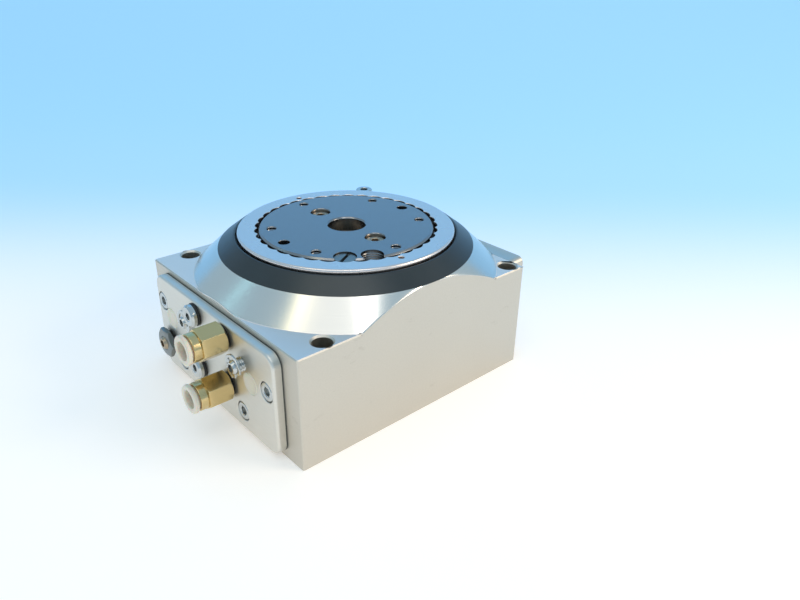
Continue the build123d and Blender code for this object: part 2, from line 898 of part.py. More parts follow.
# Index wheel: sockets for the locking bolt, and a ratchet in its bore
bolt_rest_tip = wheel_bottom - turning_gap
bolt_locked_tip = bolt_rest_tip + bolt_travel
bolt_cone_foot = bolt_locked_tip - bolt_tip_length
socket_collar = bolt_cone_foot - wheel_bottom + socket_clearance
with BuildPart() as index_wheel:
    with BuildSketch(Plane.XY.offset(wheel_bottom)):
        Circle(wheel_radius)
        Circle(ratchet_tip_radius, mode=Mode.SUBTRACT)
        with PolarLocations(ratchet_tip_radius, station_count, 180 / station_count):
            Rectangle(2 * ratchet_depth, ratchet_pocket_width, mode=Mode.SUBTRACT)
        with PolarLocations(wheel_screw_circle, wheel_screw_count, wheel_screw_angle):
            Circle(wheel_screw_radius, mode=Mode.SUBTRACT)
    extrude(amount=wheel_thickness)
    with BuildSketch(Plane.XY.offset(hub_foot)):
        Circle(wheel_rim_outer_radius)
        Circle(wheel_rim_inner_radius, mode=Mode.SUBTRACT)
    extrude(amount=wheel_rim_height)
    with BuildSketch(Plane.XY.offset(wheel_bottom)):
        with PolarLocations(wheel_screw_circle, wheel_screw_count, wheel_screw_angle):
            Circle(wheel_screw_counterbore_radius)
    extrude(amount=wheel_screw_head_height, mode=Mode.SUBTRACT)
    with BuildSketch(Plane.XY.offset(wheel_bottom)):
        with PolarLocations(station_circle, station_count):
            Circle(bolt_stem_radius + socket_clearance)
    extrude(amount=socket_collar, mode=Mode.SUBTRACT)
    cone_taper = degrees(atan2(bolt_stem_radius - bolt_tip_radius, bolt_tip_length))
    with BuildSketch(Plane.XY.offset(wheel_bottom + socket_collar)):
        with PolarLocations(station_circle, station_count):
            Circle(bolt_stem_radius + socket_clearance)
    extrude(
        amount=bolt_tip_length + socket_clearance, taper=cone_taper, mode=Mode.SUBTRACT
    )
save(index_wheel, "index_wheel")

wheel_screws = []
for index in range(wheel_screw_count):
    angle = wheel_screw_angle + index * 360 / wheel_screw_count
    x, y = polar_place(wheel_screw_circle, angle)
    seat = Plane(origin=(x, y, wheel_screw_seat), x_dir=(1, 0, 0), z_dir=(0, 0, -1))
    wheel_screws.append(
        cap_screw(
            seat,
            wheel_screw_head_radius,
            wheel_screw_head_height,
            wheel_screw_radius,
            wheel_screw_length,
            disc_screw_socket,
        )
    )
group(wheel_screws, "index_wheel_screws")


# Drive shaft with an involute pinion
base_radius = pinion_pitch_radius * cos(radians(pressure_angle))
tooth_half_angle = pi / (2 * pinion_teeth) - tooth_backlash / (2 * pinion_pitch_radius)
involute_at_pitch = tan(radians(pressure_angle)) - radians(pressure_angle)
flank_steps = 5


def flank_point(roll, side):
    """A point on a tooth's involute flank, for a tooth that points along X."""
    radius = base_radius * sqrt(1 + roll**2)
    turn = tooth_half_angle + involute_at_pitch - (roll - atan2(roll, 1))
    return (radius * cos(turn), side * radius * sin(turn))


tip_roll = sqrt((pinion_tip_radius / base_radius) ** 2 - 1)
rolls = [tip_roll * step / flank_steps for step in range(flank_steps + 1)]
root_turn = tooth_half_angle + involute_at_pitch
root_left = (pinion_root_radius * cos(root_turn), pinion_root_radius * sin(root_turn))
root_right = (root_left[0], -root_left[1])
inside = shaft_radius / 2

with BuildPart() as drive_shaft:
    with BuildSketch(Plane.XY.offset(pinion_bottom)):
        Circle(pinion_root_radius)
        with BuildSketch(mode=Mode.PRIVATE) as tooth:
            with BuildLine():
                left = Spline(*[flank_point(roll, 1) for roll in rolls])
                right = Spline(*[flank_point(roll, -1) for roll in rolls])
                Line(left @ 1, right @ 1)
                Polyline(left @ 0, root_left, (inside, 0), root_right, right @ 0)
            make_face()
        with PolarLocations(0, pinion_teeth):
            add(tooth.sketch)
    extrude(amount=pinion_face_width)
    with BuildSketch(Plane.XY.offset(base_cover_thickness + shaft_foot_gap)):
        Circle(shaft_radius)
    extrude(amount=carrier_top - base_cover_thickness - shaft_foot_gap)
    with BuildSketch(Plane.XY.offset(pinion_top)):
        Circle(shaft_collar_radius)
    extrude(amount=carrier_bottom - pinion_top)
    with BuildSketch(Plane.XY.offset(carrier_top)):
        Circle(pilot_radius)
    extrude(amount=hub_foot + pilot_bush_height - pilot_bush_gap - carrier_top)
save(drive_shaft, "drive_shaft")

lower_bush = washer(
    Plane.XY.offset(base_cover_thickness),
    lower_bush_radius,
    shaft_radius + running_clearance,
    gear_floor - base_cover_thickness,
)
save(lower_bush, "lower_bush")


# Racks: a toothed rod between two piston heads
rack_pitch = pi * gear_module
rack_tip_line = pinion_pitch_radius - rack_addendum_factor * gear_module
rack_space_half = rack_pitch / 4 + tooth_backlash / 2
flank_lean = tan(radians(pressure_angle))
piston_head_radius = cylinder_radius - piston_clearance
piston_groove_radius = piston_head_radius - piston_groove_depth
groove_inset = (piston_head_length - piston_groove_width) / 2
groove_offsets = (groove_inset, piston_length - groove_inset - piston_groove_width)
rod_length = piston_length - 2 * piston_head_length


def rack_start(side):
    """The plane of a rack's -X end at rest: side is -1 for the rack at -Y."""
    start_x = cylinder_centre + side * stroke / 2 - piston_length / 2
    origin = (start_x, side * cylinder_offset, cylinder_height)
    return Plane(origin=origin, x_dir=(0, 1, 0), z_dir=(1, 0, 0))


def rack_space(side):
    """The gap between two rack teeth, drawn about the pitch line."""
    tip_rise = rack_addendum_factor * gear_module
    root_rise = dedendum_factor * gear_module
    tip_half = rack_space_half + tip_rise * flank_lean
    root_half = rack_space_half - root_rise * flank_lean
    with BuildSketch() as space:
        with BuildLine():
            Polyline(
                (-tip_half, -side * tip_rise),
                (tip_half, -side * tip_rise),
                (root_half, side * root_rise),
                (-root_half, side * root_rise),
                close=True,
            )
        make_face()
    return space.sketch


def rack_piston(side):
    """One rack with its two piston heads, where it rests before the swing."""
    start = rack_start(side)
    teeth_reach = (stroke + rack_run_out, rack_run_out)
    behind, ahead = teeth_reach if side < 0 else reversed(teeth_reach)
    first_space = -int(behind / rack_pitch)
    last_space = int(ahead / rack_pitch)
    space = rack_space(side)
    rod_centre = cylinder_centre + side * stroke / 2
    with BuildPart() as rack:
        with BuildSketch(start):
            Circle(piston_head_radius)
        extrude(amount=piston_length)
        with BuildSketch(start.offset(piston_head_length)):
            Circle(cylinder_radius)
            Circle(rack_rod_radius, mode=Mode.SUBTRACT)
        extrude(amount=rod_length, mode=Mode.SUBTRACT)
        for offset in groove_offsets:
            with BuildSketch(start.offset(offset)):
                Circle(cylinder_radius)
                Circle(piston_groove_radius, mode=Mode.SUBTRACT)
            extrude(amount=piston_groove_width, mode=Mode.SUBTRACT)
        # The side that faces the pinion is milled flat to the tooth tips, then toothed.
        with BuildSketch(Plane.XY.offset(cylinder_height - cylinder_radius)):
            with Locations((rod_centre, side * rack_tip_line / 2)):
                Rectangle(rod_length, rack_tip_line)
            for place in range(first_space, last_space + 1):
                with Locations((place * rack_pitch, side * pinion_pitch_radius)):
                    add(space)
        extrude(amount=2 * cylinder_radius, mode=Mode.SUBTRACT)
    return rack


def piston_seals(side):
    """The two seal rings of one rack."""
    return [
        washer(
            rack_start(side).offset(offset),
            cylinder_radius - sliding_clearance / 2,
            piston_groove_radius,
            piston_groove_width,
        )
        for offset in groove_offsets
    ]


save(rack_piston(-1), "front_rack")
save(rack_piston(1), "rear_rack")
group(piston_seals(-1), "front_rack_seals")
group(piston_seals(1), "rear_rack_seals")

# Rubber pads on the port plate and the end cover stop the racks
bumpers = []
for side in (-1, 1):
    for pad_face in (
        port_plane(gasket_thickness, (side * cylinder_offset, cylinder_height)),
        rear_plane(gasket_thickness, (side * cylinder_offset, cylinder_height)),
    ):
        with BuildPart() as bumper:
            with BuildSketch(pad_face):
                Circle(bumper_radius)
            extrude(amount=-gasket_thickness - bumper_thickness)
        bumpers.append(bumper)
group(bumpers, "end_bumpers")


# Pawl carrier on the drive shaft: a web with a boss, a pin and a spring clip above
web_top = carrier_bottom + carrier_thickness - pawl_thickness - 2 * pawl_lift
with BuildPart() as pawl_carrier:
    with BuildSketch(Plane.XY.offset(carrier_bottom)):
        Circle(carrier_radius)
        Circle(shaft_radius, mode=Mode.SUBTRACT)
        with Locations((pawl_pin_circle, 0)):
            Circle(pawl_pin_radius, mode=Mode.SUBTRACT)
    extrude(amount=web_top - carrier_bottom)
    with BuildSketch(Plane.XY.offset(web_top)):
        Circle(carrier_boss_radius)
        Circle(shaft_radius, mode=Mode.SUBTRACT)
    extrude(amount=carrier_top - web_top)
save(pawl_carrier, "pawl_carrier")

pawl_foot = web_top + pawl_lift
with BuildPart() as pawl_pin:
    with BuildSketch(Plane.XY.offset(carrier_bottom)):
        with Locations((pawl_pin_circle, 0)):
            Circle(pawl_pin_radius)
    extrude(amount=carrier_top - carrier_bottom)
save(pawl_pin, "pawl_pin")

pawl_outline = (
    (pawl_back_radius, pawl_heel_angle),
    (pawl_back_radius, pawl_shoulder_angle),
    (pawl_tip_radius, pawl_tip_angle),
    (pawl_tip_radius, pawl_tip_angle + pawl_tip_width),
    (pawl_back_radius, pawl_tip_angle + pawl_nose_width),
    (pawl_belly_radius, pawl_tip_angle + pawl_tip_width),
    (pawl_belly_radius, pawl_shoulder_angle),
    (pawl_belly_radius, pawl_heel_angle),
)
with BuildPart() as pawl:
    with BuildSketch(Plane.XY.offset(pawl_foot)):
        with BuildLine():
            Polyline(*[polar_place(*corner) for corner in pawl_outline], close=True)
        make_face()
        with Locations((pawl_pin_circle, 0)):
            Circle(pawl_boss_radius)
            Circle(pawl_pin_radius + running_clearance, mode=Mode.SUBTRACT)
    extrude(amount=pawl_thickness)
save(pawl, "ratchet_pawl")

carrier_clip = washer(
    Plane.XY.offset(carrier_top), carrier_clip_radius, pilot_radius, carrier_clip_thickness
)
save(carrier_clip, "carrier_clip")


# Locking bolt: a small piston below, a stem, and a coned tip for the wheel's sockets
bolt_bush_bottom = chamber_floor - bolt_bush_length
bolt_floor = base_cover_thickness + bolt_piston_floor
with BuildPart() as locking_bolt:
    with BuildSketch(Plane.XZ):
        with BuildLine():
            Polyline(
                (-station_circle, bolt_floor),
                (-station_circle + bolt_piston_radius - piston_clearance, bolt_floor),
                (
                    -station_circle + bolt_piston_radius - piston_clearance,
                    bolt_floor + bolt_piston_length,
                ),
                (-station_circle + bolt_stem_radius, bolt_floor + bolt_piston_length),
                (-station_circle + bolt_stem_radius, bolt_rest_tip - bolt_tip_length),
                (-station_circle + bolt_tip_radius, bolt_rest_tip),
                (-station_circle, bolt_rest_tip),
                close=True,
            )
        make_face()
    revolve(axis=Axis((-station_circle, 0, 0), (0, 0, 1)))
save(locking_bolt, "locking_bolt")

locking_bush = washer(
    Plane(origin=(-station_circle, 0, bolt_bush_bottom)),
    bolt_piston_radius,
    bolt_stem_radius + running_clearance,
    bolt_bush_length,
)
save(locking_bush, "locking_bush")


# Port plate and its gasket
plate_across = (port_plate_right - port_plate_left) / 2
plate_width = port_plate_right + port_plate_left
plate_rise = port_plate_top - port_plate_bottom
plate_middle = (port_plate_top + port_plate_bottom) / 2
supply_places = ((port_across, upper_port_height), (port_across, lower_port_height))
spare_places = ((-port_across, upper_port_height), (-port_across, lower_plug_height))
cylinder_places = (
    (cylinder_offset, cylinder_height),
    (-cylinder_offset, cylinder_height),
)
with BuildPart() as port_plate:
    with BuildSketch(port_plane(plate_back)):
        with Locations((plate_across, plate_middle)):
            RectangleRounded(plate_width, plate_rise, port_plate_corner)
    extrude(amount=port_plate_thickness)
    fillet(port_plate.faces().sort_by(Axis.X)[0].outer_wire().edges(), port_plate_round)
    with BuildSketch(port_plane(plate_back)):
        with Locations(*supply_places, *spare_places):
            Circle(port_thread_radius)
        with Locations(*flow_places):
            Circle(flow_radius + running_clearance)
        with Locations(*plate_screw_places):
            Circle(plate_screw_radius)
        with Locations(stop_place):
            Circle(stop_radius)
    extrude(amount=port_plate_thickness, mode=Mode.SUBTRACT)
    with BuildSketch(port_plane(plate_front)):
        with Locations(*plate_screw_places):
            Circle(plate_screw_bore_radius)
    extrude(amount=-plate_screw_bore_depth, mode=Mode.SUBTRACT)
    with BuildSketch(port_plane(plate_front)):
        with Locations(*cap_places):
            Circle(cap_radius)
    extrude(amount=-cap_thickness, mode=Mode.SUBTRACT)
    # A channel on the back carries the upper ports' air across and down to one cylinder.
    with BuildSketch(port_plane(plate_back)):
        with Locations((0, upper_port_height)):
            Rectangle(2 * port_across, channel_width)
        with Locations((-port_across, (upper_port_height + cylinder_height) / 2)):
            Rectangle(channel_width, upper_port_height - cylinder_height)
    extrude(amount=channel_depth, mode=Mode.SUBTRACT)
save(port_plate, "port_plate")

with BuildPart() as port_gasket:
    with BuildSketch(port_plane(0)):
        with Locations((plate_across, plate_middle)):
            RectangleRounded(plate_width, plate_rise, port_plate_corner)
        with Locations(*cylinder_places):
            Circle(cylinder_radius, mode=Mode.SUBTRACT)
        with Locations(*plate_screw_places):
            Circle(plate_screw_radius, mode=Mode.SUBTRACT)
        with Locations(stop_place):
            Circle(stop_radius, mode=Mode.SUBTRACT)
    extrude(amount=gasket_thickness)
save(port_gasket, "port_gasket")

plate_screws = [
    cap_screw(
        port_plane(plate_seat, place),
        plate_screw_head_radius,
        plate_screw_head_height,
        plate_screw_radius,
        plate_screw_length,
        plate_screw_socket,
    )
    for place in plate_screw_places
]
group(plate_screws, "port_plate_screws")

bore_caps = []
for place in cap_places:
    with BuildPart() as bore_cap:
        with BuildSketch(port_plane(plate_front - cap_thickness, place)):
            Circle(cap_radius)
        extrude(amount=cap_thickness + cap_proud)
        chamfer(bore_cap.faces().sort_by(Axis.X)[0].edges(), cap_edge_chamfer)
    bore_caps.append(bore_cap)
group(bore_caps, "bore_caps")


# Plugs in the two spare ports, each on a seal ring
plug_seat = plate_front + seal_thickness
plug_face = plug_seat + plug_head_height
plug_outline = [
    (plate_back, 0),
    (plate_back, port_thread_radius),
    (plug_seat, port_thread_radius),
    (plug_seat, plug_head_radius),
    (plug_face - plug_chamfer, plug_head_radius),
    (plug_face, plug_head_radius - plug_chamfer),
    (plug_face, 0),
]
plugs = []
for place in spare_places:
    with BuildPart() as plug:
        add(turned_at_port(plug_outline, place).part)
        with BuildSketch(port_plane(plug_face, place)):
            RegularPolygon(plug_socket / 2, 6, major_radius=False)
        extrude(amount=-plug_socket_depth, mode=Mode.SUBTRACT)
    plugs.append(plug)
group(plugs, "port_plugs")

plug_seals = [
    washer(port_plane(plate_front, place), seal_radius, port_thread_radius, seal_thickness)
    for place in spare_places
]
group(plug_seals, "port_plug_seals")

fitting_seals = [
    washer(port_plane(plate_front, place), seal_radius, port_thread_radius, seal_thickness)
    for place in supply_places
]
group(fitting_seals, "fitting_seals")


# Push-in fittings: a hexagon with a turned barrel, a tube seal and a release ring
fitting_seat = plate_front + seal_thickness
hex_end = fitting_seat + fitting_hex_length
barrel_end = hex_end + fitting_barrel_length
tube_stop = barrel_end - tube_stop_depth
collet_floor = tube_stop + tube_seal_offset
hex_corner_radius = fitting_hex / sqrt(3)
fittings = []
for place, turn in zip(supply_places, fitting_turns):
    with BuildPart() as fitting:
        with BuildSketch(port_plane(fitting_seat, place)):
            RegularPolygon(fitting_hex / 2, 6, major_radius=False, rotation=turn)
        extrude(amount=fitting_hex_length)
        add(
            turned_at_port(
                [
                    (fitting_seat, 0),
                    (fitting_seat, hex_corner_radius - fitting_hex_chamfer),
                    (fitting_seat + fitting_hex_chamfer, hex_corner_radius),
                    (hex_end, hex_corner_radius),
                    (hex_end, 0),
                ],
                place,
            ).part,
            mode=Mode.INTERSECT,
        )
        with BuildSketch(port_plane(hex_end, place)):
            Circle(fitting_barrel_radius)
        extrude(amount=fitting_barrel_length)
        with BuildSketch(port_plane(plate_back, place)):
            Circle(port_thread_radius)
        extrude(amount=fitting_seat - plate_back)
        add(
            turned_at_port(
                [
                    (plate_back, 0),
                    (plate_back, passage_radius),
                    (tube_stop, passage_radius),
                    (tube_stop, tube_radius),
                    (collet_floor, tube_radius),
                    (collet_floor, collet_room_radius),
                    (barrel_end, collet_room_radius),
                    (barrel_end, 0),
                ],
                place,
            ).part,
            mode=Mode.SUBTRACT,
        )
    fittings.append(fitting)
group(fittings, "fitting_bodies")

tube_seals = [
    washer(
        port_plane(collet_floor, place), collet_room_radius, tube_radius, tube_seal_height
    )
    for place in supply_places
]
group(tube_seals, "tube_seals")

release_back = barrel_end + release_gap
release_face = release_back + release_thickness
for place, label in zip(supply_places, ("upper_release_ring", "lower_release_ring")):
    with BuildPart() as release_ring:
        add(
            turned_at_port(
                [
                    (collet_floor + tube_seal_height + collet_clear, tube_radius),
                    (collet_floor + tube_seal_height + collet_clear, collet_radius),
                    (release_back, collet_radius),
                    (release_back, release_radius),
                    (release_face, release_radius),
                    (release_face, tube_radius),
                ],
                place,
            ).part
        )
        rim_x = -port_face_reach - release_face
        rims = release_ring.edges().filter_by_position(Axis.X, rim_x, rim_x)
        fillet(rims, release_round)
    save(release_ring, label)


# Flow-control screws, each kept by a spring clip near its tip
for place, reach, turn, label in zip(
    flow_places, flow_reaches, clip_turns, ("right_flow", "left_flow")
):
    flow_face = plate_front + reach
    clip_front = flow_face - clip_setback
    clip_back = clip_front - clip_thickness
    with BuildPart() as flow_screw:
        add(
            turned_at_port(
                [
                    (plate_back + flow_tip_gap, 0),
                    (plate_back + flow_tip_gap, flow_tip_radius),
                    (plate_back + flow_tip_gap + flow_tip_length, flow_radius),
                    (clip_back, flow_radius),
                    (clip_back, flow_radius - clip_groove_depth),
                    (clip_front, flow_radius - clip_groove_depth),
                    (clip_front, flow_radius),
                    (flow_face, flow_radius),
                    (flow_face, 0),
                ],
                place,
            ).part
        )
        with BuildSketch(port_plane(flow_face, place)):
            RegularPolygon(flow_socket / 2, 6, major_radius=False)
        extrude(amount=-flow_socket_depth, mode=Mode.SUBTRACT)
    save(flow_screw, f"{label}_screw")
    with BuildPart() as flow_clip:
        with BuildSketch(port_plane(clip_back, place)):
            Circle(clip_radius)
            Circle(clip_radius - clip_band, mode=Mode.SUBTRACT)
            with Locations(Location((0, 0), turn)):
                Rectangle(
                    2 * clip_radius,
                    clip_opening,
                    align=(Align.CENTER, Align.MAX),
                    mode=Mode.SUBTRACT,
                )
            with PolarLocations(clip_radius - clip_band, 3, turn, 180):
                Rectangle(clip_prong, clip_prong_width, align=(Align.MAX, Align.CENTER))
        extrude(amount=clip_thickness)
    save(flow_clip, f"{label}_clip")


# Stop screw with its seal ring and lock nut
nut_seat = plate_front + seal_thickness
nut_face = nut_seat + stop_nut_height
stop_face = nut_face + stop_reach
with BuildPart() as stop_screw:
    with BuildSketch(port_plane(stop_face, stop_place)):
        Circle(stop_radius)
    extrude(amount=-stop_face - stop_depth)
    with BuildSketch(port_plane(stop_face, stop_place)):
        RegularPolygon(stop_socket / 2, 6, major_radius=False)
    extrude(amount=-stop_socket_depth, mode=Mode.SUBTRACT)
save(stop_screw, "stop_screw")

with BuildPart() as stop_nut:
    with BuildSketch(port_plane(nut_seat, stop_place)):
        RegularPolygon(stop_nut_hex / 2, 6, major_radius=False)
        Circle(stop_radius, mode=Mode.SUBTRACT)
    extrude(amount=stop_nut_height)
save(stop_nut, "stop_nut")

stop_seal = washer(
    port_plane(plate_front, stop_place), seal_radius, stop_radius, seal_thickness
)
save(stop_seal, "stop_nut_seal")


# End cover, its gasket and its screws
end_cover_middle = (end_cover_top + end_cover_bottom) / 2
end_cover_rise = end_cover_top - end_cover_bottom
end_screw_places = [
    (side * end_screw_across, height)
    for side in (-1, 1)
    for height in (end_screw_low, end_screw_high)
]
end_face = gasket_thickness + end_cover_thickness
with BuildPart() as end_cover:
    with BuildSketch(rear_plane(gasket_thickness)):
        with Locations((0, end_cover_middle)):
            RectangleRounded(2 * end_cover_half_width, end_cover_rise, end_cover_corner)
    extrude(amount=end_cover_thickness)
    chamfer(end_cover.faces().sort_by(Axis.X)[-1].outer_wire().edges(), end_cover_chamfer)
    with BuildSketch(rear_plane(gasket_thickness)):
        with Locations(*end_screw_places):
            Circle(end_screw_radius)
    extrude(amount=end_cover_thickness, mode=Mode.SUBTRACT)
    with BuildSketch(rear_plane(end_face)):
        with Locations(*end_screw_places):
            Circle(end_screw_bore_radius)
    extrude(amount=-end_screw_bore_depth, mode=Mode.SUBTRACT)
save(end_cover, "end_cover")

with BuildPart() as end_gasket:
    with BuildSketch(rear_plane(0)):
        with Locations((0, end_cover_middle)):
            RectangleRounded(2 * end_cover_half_width, end_cover_rise, end_cover_corner)
        with Locations(*cylinder_places):
            Circle(cylinder_radius, mode=Mode.SUBTRACT)
        with Locations(*end_screw_places):
            Circle(end_screw_radius, mode=Mode.SUBTRACT)
    extrude(amount=gasket_thickness)
save(end_gasket, "end_cover_gasket")

end_screws = [
    cap_screw(
        rear_plane(end_seat, place),
        end_screw_head_radius,
        end_screw_head_height,
        end_screw_radius,
        end_screw_length,
        end_screw_socket,
    )
    for place in end_screw_places
]
group(end_screws, "end_cover_screws")


# Shoulder screw that stands in the corner at +X, +Y
shoulder_foot = block_height - corner_screw_shoulder_depth
corner_head_bottom = block_height + corner_screw_stand_off
with BuildPart() as corner_screw:
    with BuildSketch(Plane(origin=(corner_hole_x, corner_hole_y, shoulder_foot))):
        Circle(corner_hole_radius - running_clearance)
    extrude(amount=corner_head_bottom - shoulder_foot)
    with BuildSketch(Plane(origin=(corner_hole_x, corner_hole_y, corner_head_bottom))):
        Circle(corner_screw_head_radius)
    extrude(amount=corner_screw_head_height)
    chamfer(corner_screw.faces().sort_by(Axis.Z)[-1].edges(), corner_screw_chamfer)
    corner_head_top = corner_head_bottom + corner_screw_head_height
    with BuildSketch(Plane(origin=(corner_hole_x, corner_hole_y, corner_head_top))):
        RegularPolygon(corner_screw_socket / 2, 6, major_radius=False)
    extrude(amount=-corner_screw_head_height * socket_depth_share, mode=Mode.SUBTRACT)
save(corner_screw, "corner_screw")
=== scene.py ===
# %% [markdown]
# A pneumatic rotary indexing table, dressed for a photograph. The solids come from a
# CAD model that is already packed, so everything here is built round a fixed frame:
# the origin is where the table's axis meets the mounting face, Z points up the axis
# and the port face looks along -X. Sizes are written in millimetres and turned into
# metres by one factor, so they can be checked with a ruler against the real thing.

import json
import math
from itertools import pairwise

import bpy
from mathutils import Matrix, Vector


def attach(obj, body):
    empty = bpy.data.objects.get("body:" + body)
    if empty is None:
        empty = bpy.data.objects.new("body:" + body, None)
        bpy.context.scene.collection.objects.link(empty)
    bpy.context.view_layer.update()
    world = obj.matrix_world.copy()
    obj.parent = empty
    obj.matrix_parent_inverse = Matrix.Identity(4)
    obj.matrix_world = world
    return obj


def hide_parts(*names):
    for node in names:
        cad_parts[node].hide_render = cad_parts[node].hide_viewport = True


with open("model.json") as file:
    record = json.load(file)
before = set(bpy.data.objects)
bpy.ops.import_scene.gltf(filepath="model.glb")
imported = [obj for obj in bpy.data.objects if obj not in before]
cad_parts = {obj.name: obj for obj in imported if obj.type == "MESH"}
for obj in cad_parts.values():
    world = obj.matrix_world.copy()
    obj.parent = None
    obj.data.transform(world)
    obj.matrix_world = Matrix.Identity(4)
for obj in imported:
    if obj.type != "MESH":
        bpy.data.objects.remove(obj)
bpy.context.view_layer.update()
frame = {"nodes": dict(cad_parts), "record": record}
MM = 0.001

# %% [markdown]
# A photograph fixes the camera before anything else. Its place and its three turning
# angles were worked out from the block's straight edges and the table's circles, and
# its lens from how fast the block narrows with distance. A matrix made from the view
# direction is exact, where turning by hand would only come close.

# %% Camera at the photograph's angle
VIEW_TURN = math.radians(42.268)
VIEW_DROP = math.radians(27.456)
VIEW_ROLL = math.radians(1.003)
CAMERA_PLACE = Vector((-145.656, -189.644, 147.438)) * MM
LENS = 31.675

ahead = Vector(
    (
        math.sin(VIEW_TURN) * math.cos(VIEW_DROP),
        math.cos(VIEW_TURN) * math.cos(VIEW_DROP),
        -math.sin(VIEW_DROP),
    )
)
right = Vector((math.cos(VIEW_TURN), -math.sin(VIEW_TURN), 0))
up = right.cross(ahead)
rolled_right = right * math.cos(VIEW_ROLL) + up * math.sin(VIEW_ROLL)
rolled_up = up * math.cos(VIEW_ROLL) - right * math.sin(VIEW_ROLL)

bpy.ops.object.select_all(action="DESELECT")
bpy.ops.object.camera_add(location=CAMERA_PLACE)
camera = bpy.context.object
camera.name = "photo_camera"
camera.data.lens = LENS
camera.data.sensor_width = 36
camera.data.clip_start = 0.01
camera.rotation_mode = "QUATERNION"
axes = Matrix((rolled_right, rolled_up, -ahead)).transposed()
camera.rotation_quaternion = axes.to_quaternion()
bpy.context.scene.camera = camera
print("camera looks down by", round(math.degrees(VIEW_DROP), 2), "degrees")

# %% [markdown]
# Turned, milled and drilled parts share a few moves. An outline spun about an axis
# makes anything that came off a lathe. One solid cut from another makes a drilled
# hole or a milled flat. A narrow bevel breaks every edge, which is what catches the
# light on real metal. Each move is a small function that works with the same
# operators that a person would reach for.

# %% Helpers: selecting, turning, cutting
UP = (0.0, 0.0, 0.0)
PORT = (0.0, -math.pi / 2, 0.0)
REAR = (0.0, math.pi / 2, 0.0)
PORT_FACE = -54.0
REAR_FACE = 46.0
OVERCUT = 0.05
BEVEL_STEPS = 2


def only(piece):
    """Leaves one piece selected and active, in object mode."""
    if bpy.context.object and bpy.context.object.mode != "OBJECT":
        bpy.ops.object.mode_set(mode="OBJECT")
    bpy.ops.object.select_all(action="DESELECT")
    if piece is not None:
        piece.select_set(True)
        bpy.context.view_layer.objects.active = piece
    return piece


def pick_edges(piece, test):
    """Selects the edges whose two ends, in millimetres, pass a test, in edit mode."""
    only(piece)
    bpy.ops.object.mode_set(mode="EDIT")
    bpy.ops.mesh.select_mode(type="EDGE")
    bpy.ops.mesh.select_all(action="DESELECT")
    bpy.ops.object.mode_set(mode="OBJECT")
    mesh = piece.data
    for edge in mesh.edges:
        ends = [mesh.vertices[v].co / MM for v in edge.vertices]
        edge.select = test(*ends)
    bpy.ops.object.mode_set(mode="EDIT")


def bevel_edges(piece, test, width, segments):
    """Bevels the edges that pass a test."""
    pick_edges(piece, test)
    bpy.ops.mesh.bevel(offset=width * MM, segments=segments)
    bpy.ops.object.mode_set(mode="OBJECT")


def place(piece, spot, stand=UP):
    """Stands a piece at a spot and bakes that into its mesh."""
    only(piece)
    piece.rotation_euler = stand
    piece.location = Vector(spot) * MM
    bpy.ops.object.transform_apply(location=True, rotation=True, scale=True)
    return piece


def turned(name, outline, steps=96, sweep=2 * math.pi, start=0.0):
    """Draws an outline of (radius, height) one point at a time and spins it about Z."""
    only(None)
    bpy.ops.mesh.primitive_plane_add(size=MM)
    piece = bpy.context.object
    piece.name = name
    piece.data.name = name
    bpy.ops.object.mode_set(mode="EDIT")
    bpy.ops.mesh.select_mode(type="VERT")
    bpy.ops.mesh.select_all(action="SELECT")
    bpy.ops.mesh.merge(type="CENTER")
    radius, height = outline[0]
    bpy.ops.transform.translate(value=(radius * MM, 0, height * MM))
    for (r0, z0), (r1, z1) in pairwise(outline):
        step = ((r1 - r0) * MM, 0, (z1 - z0) * MM)
        bpy.ops.mesh.extrude_vertices_move(TRANSFORM_OT_translate={"value": step})
    bpy.ops.mesh.select_all(action="SELECT")
    if start:
        bpy.ops.transform.rotate(value=-start, orient_axis="Z", center_override=(0, 0, 0))
    bpy.ops.mesh.spin(steps=steps, angle=sweep, center=(0, 0, 0), axis=(0, 0, 1))
    bpy.ops.mesh.select_all(action="SELECT")
    bpy.ops.mesh.remove_doubles(threshold=1e-6)
    if sweep < 2 * math.pi:
        bpy.ops.mesh.select_all(action="DESELECT")
        bpy.ops.mesh.select_mode(type="EDGE")
        bpy.ops.mesh.select_non_manifold()
        bpy.ops.mesh.fill()
    bpy.ops.mesh.select_all(action="SELECT")
    bpy.ops.mesh.normals_make_consistent(inside=False)
    bpy.ops.object.mode_set(mode="OBJECT")
    return piece


def drill_outline(low, *steps, chamfer=0.0):
    """The outline of a stepped drill. A step is a radius and the height where it ends.

    The last step ends at the face that is drilled. A chamfer widens the drill there, and
    takes it a little past the face so that the cut is clean.
    """
    outline = [(0, low)]
    for radius, top in steps:
        outline += [(radius, low), (radius, top)]
        low = top
    if chamfer:
        radius, top = outline.pop()
        low = top + OVERCUT
        outline += [(radius, top - chamfer), (radius + chamfer + OVERCUT, low)]
    return outline + [(0, low)]


def ring_section(inner, outer, low, high):
    """The closed square section of a ring."""
    return [(inner, low), (outer, low), (outer, high), (inner, high), (inner, low)]


def hexagon(name, across, low, high, turn=0.0):
    """A six-sided bar, measured across its flats, from one height to another."""
    only(None)
    bpy.ops.mesh.primitive_cylinder_add(
        vertices=6,
        radius=across / 2 / math.cos(math.pi / 6) * MM,
        depth=(high - low) * MM,
        location=(0, 0, (low + high) / 2 * MM),
        rotation=(0, 0, turn),
    )
    piece = bpy.context.object
    piece.name = name
    bpy.ops.object.transform_apply(location=True, rotation=True, scale=True)
    return piece


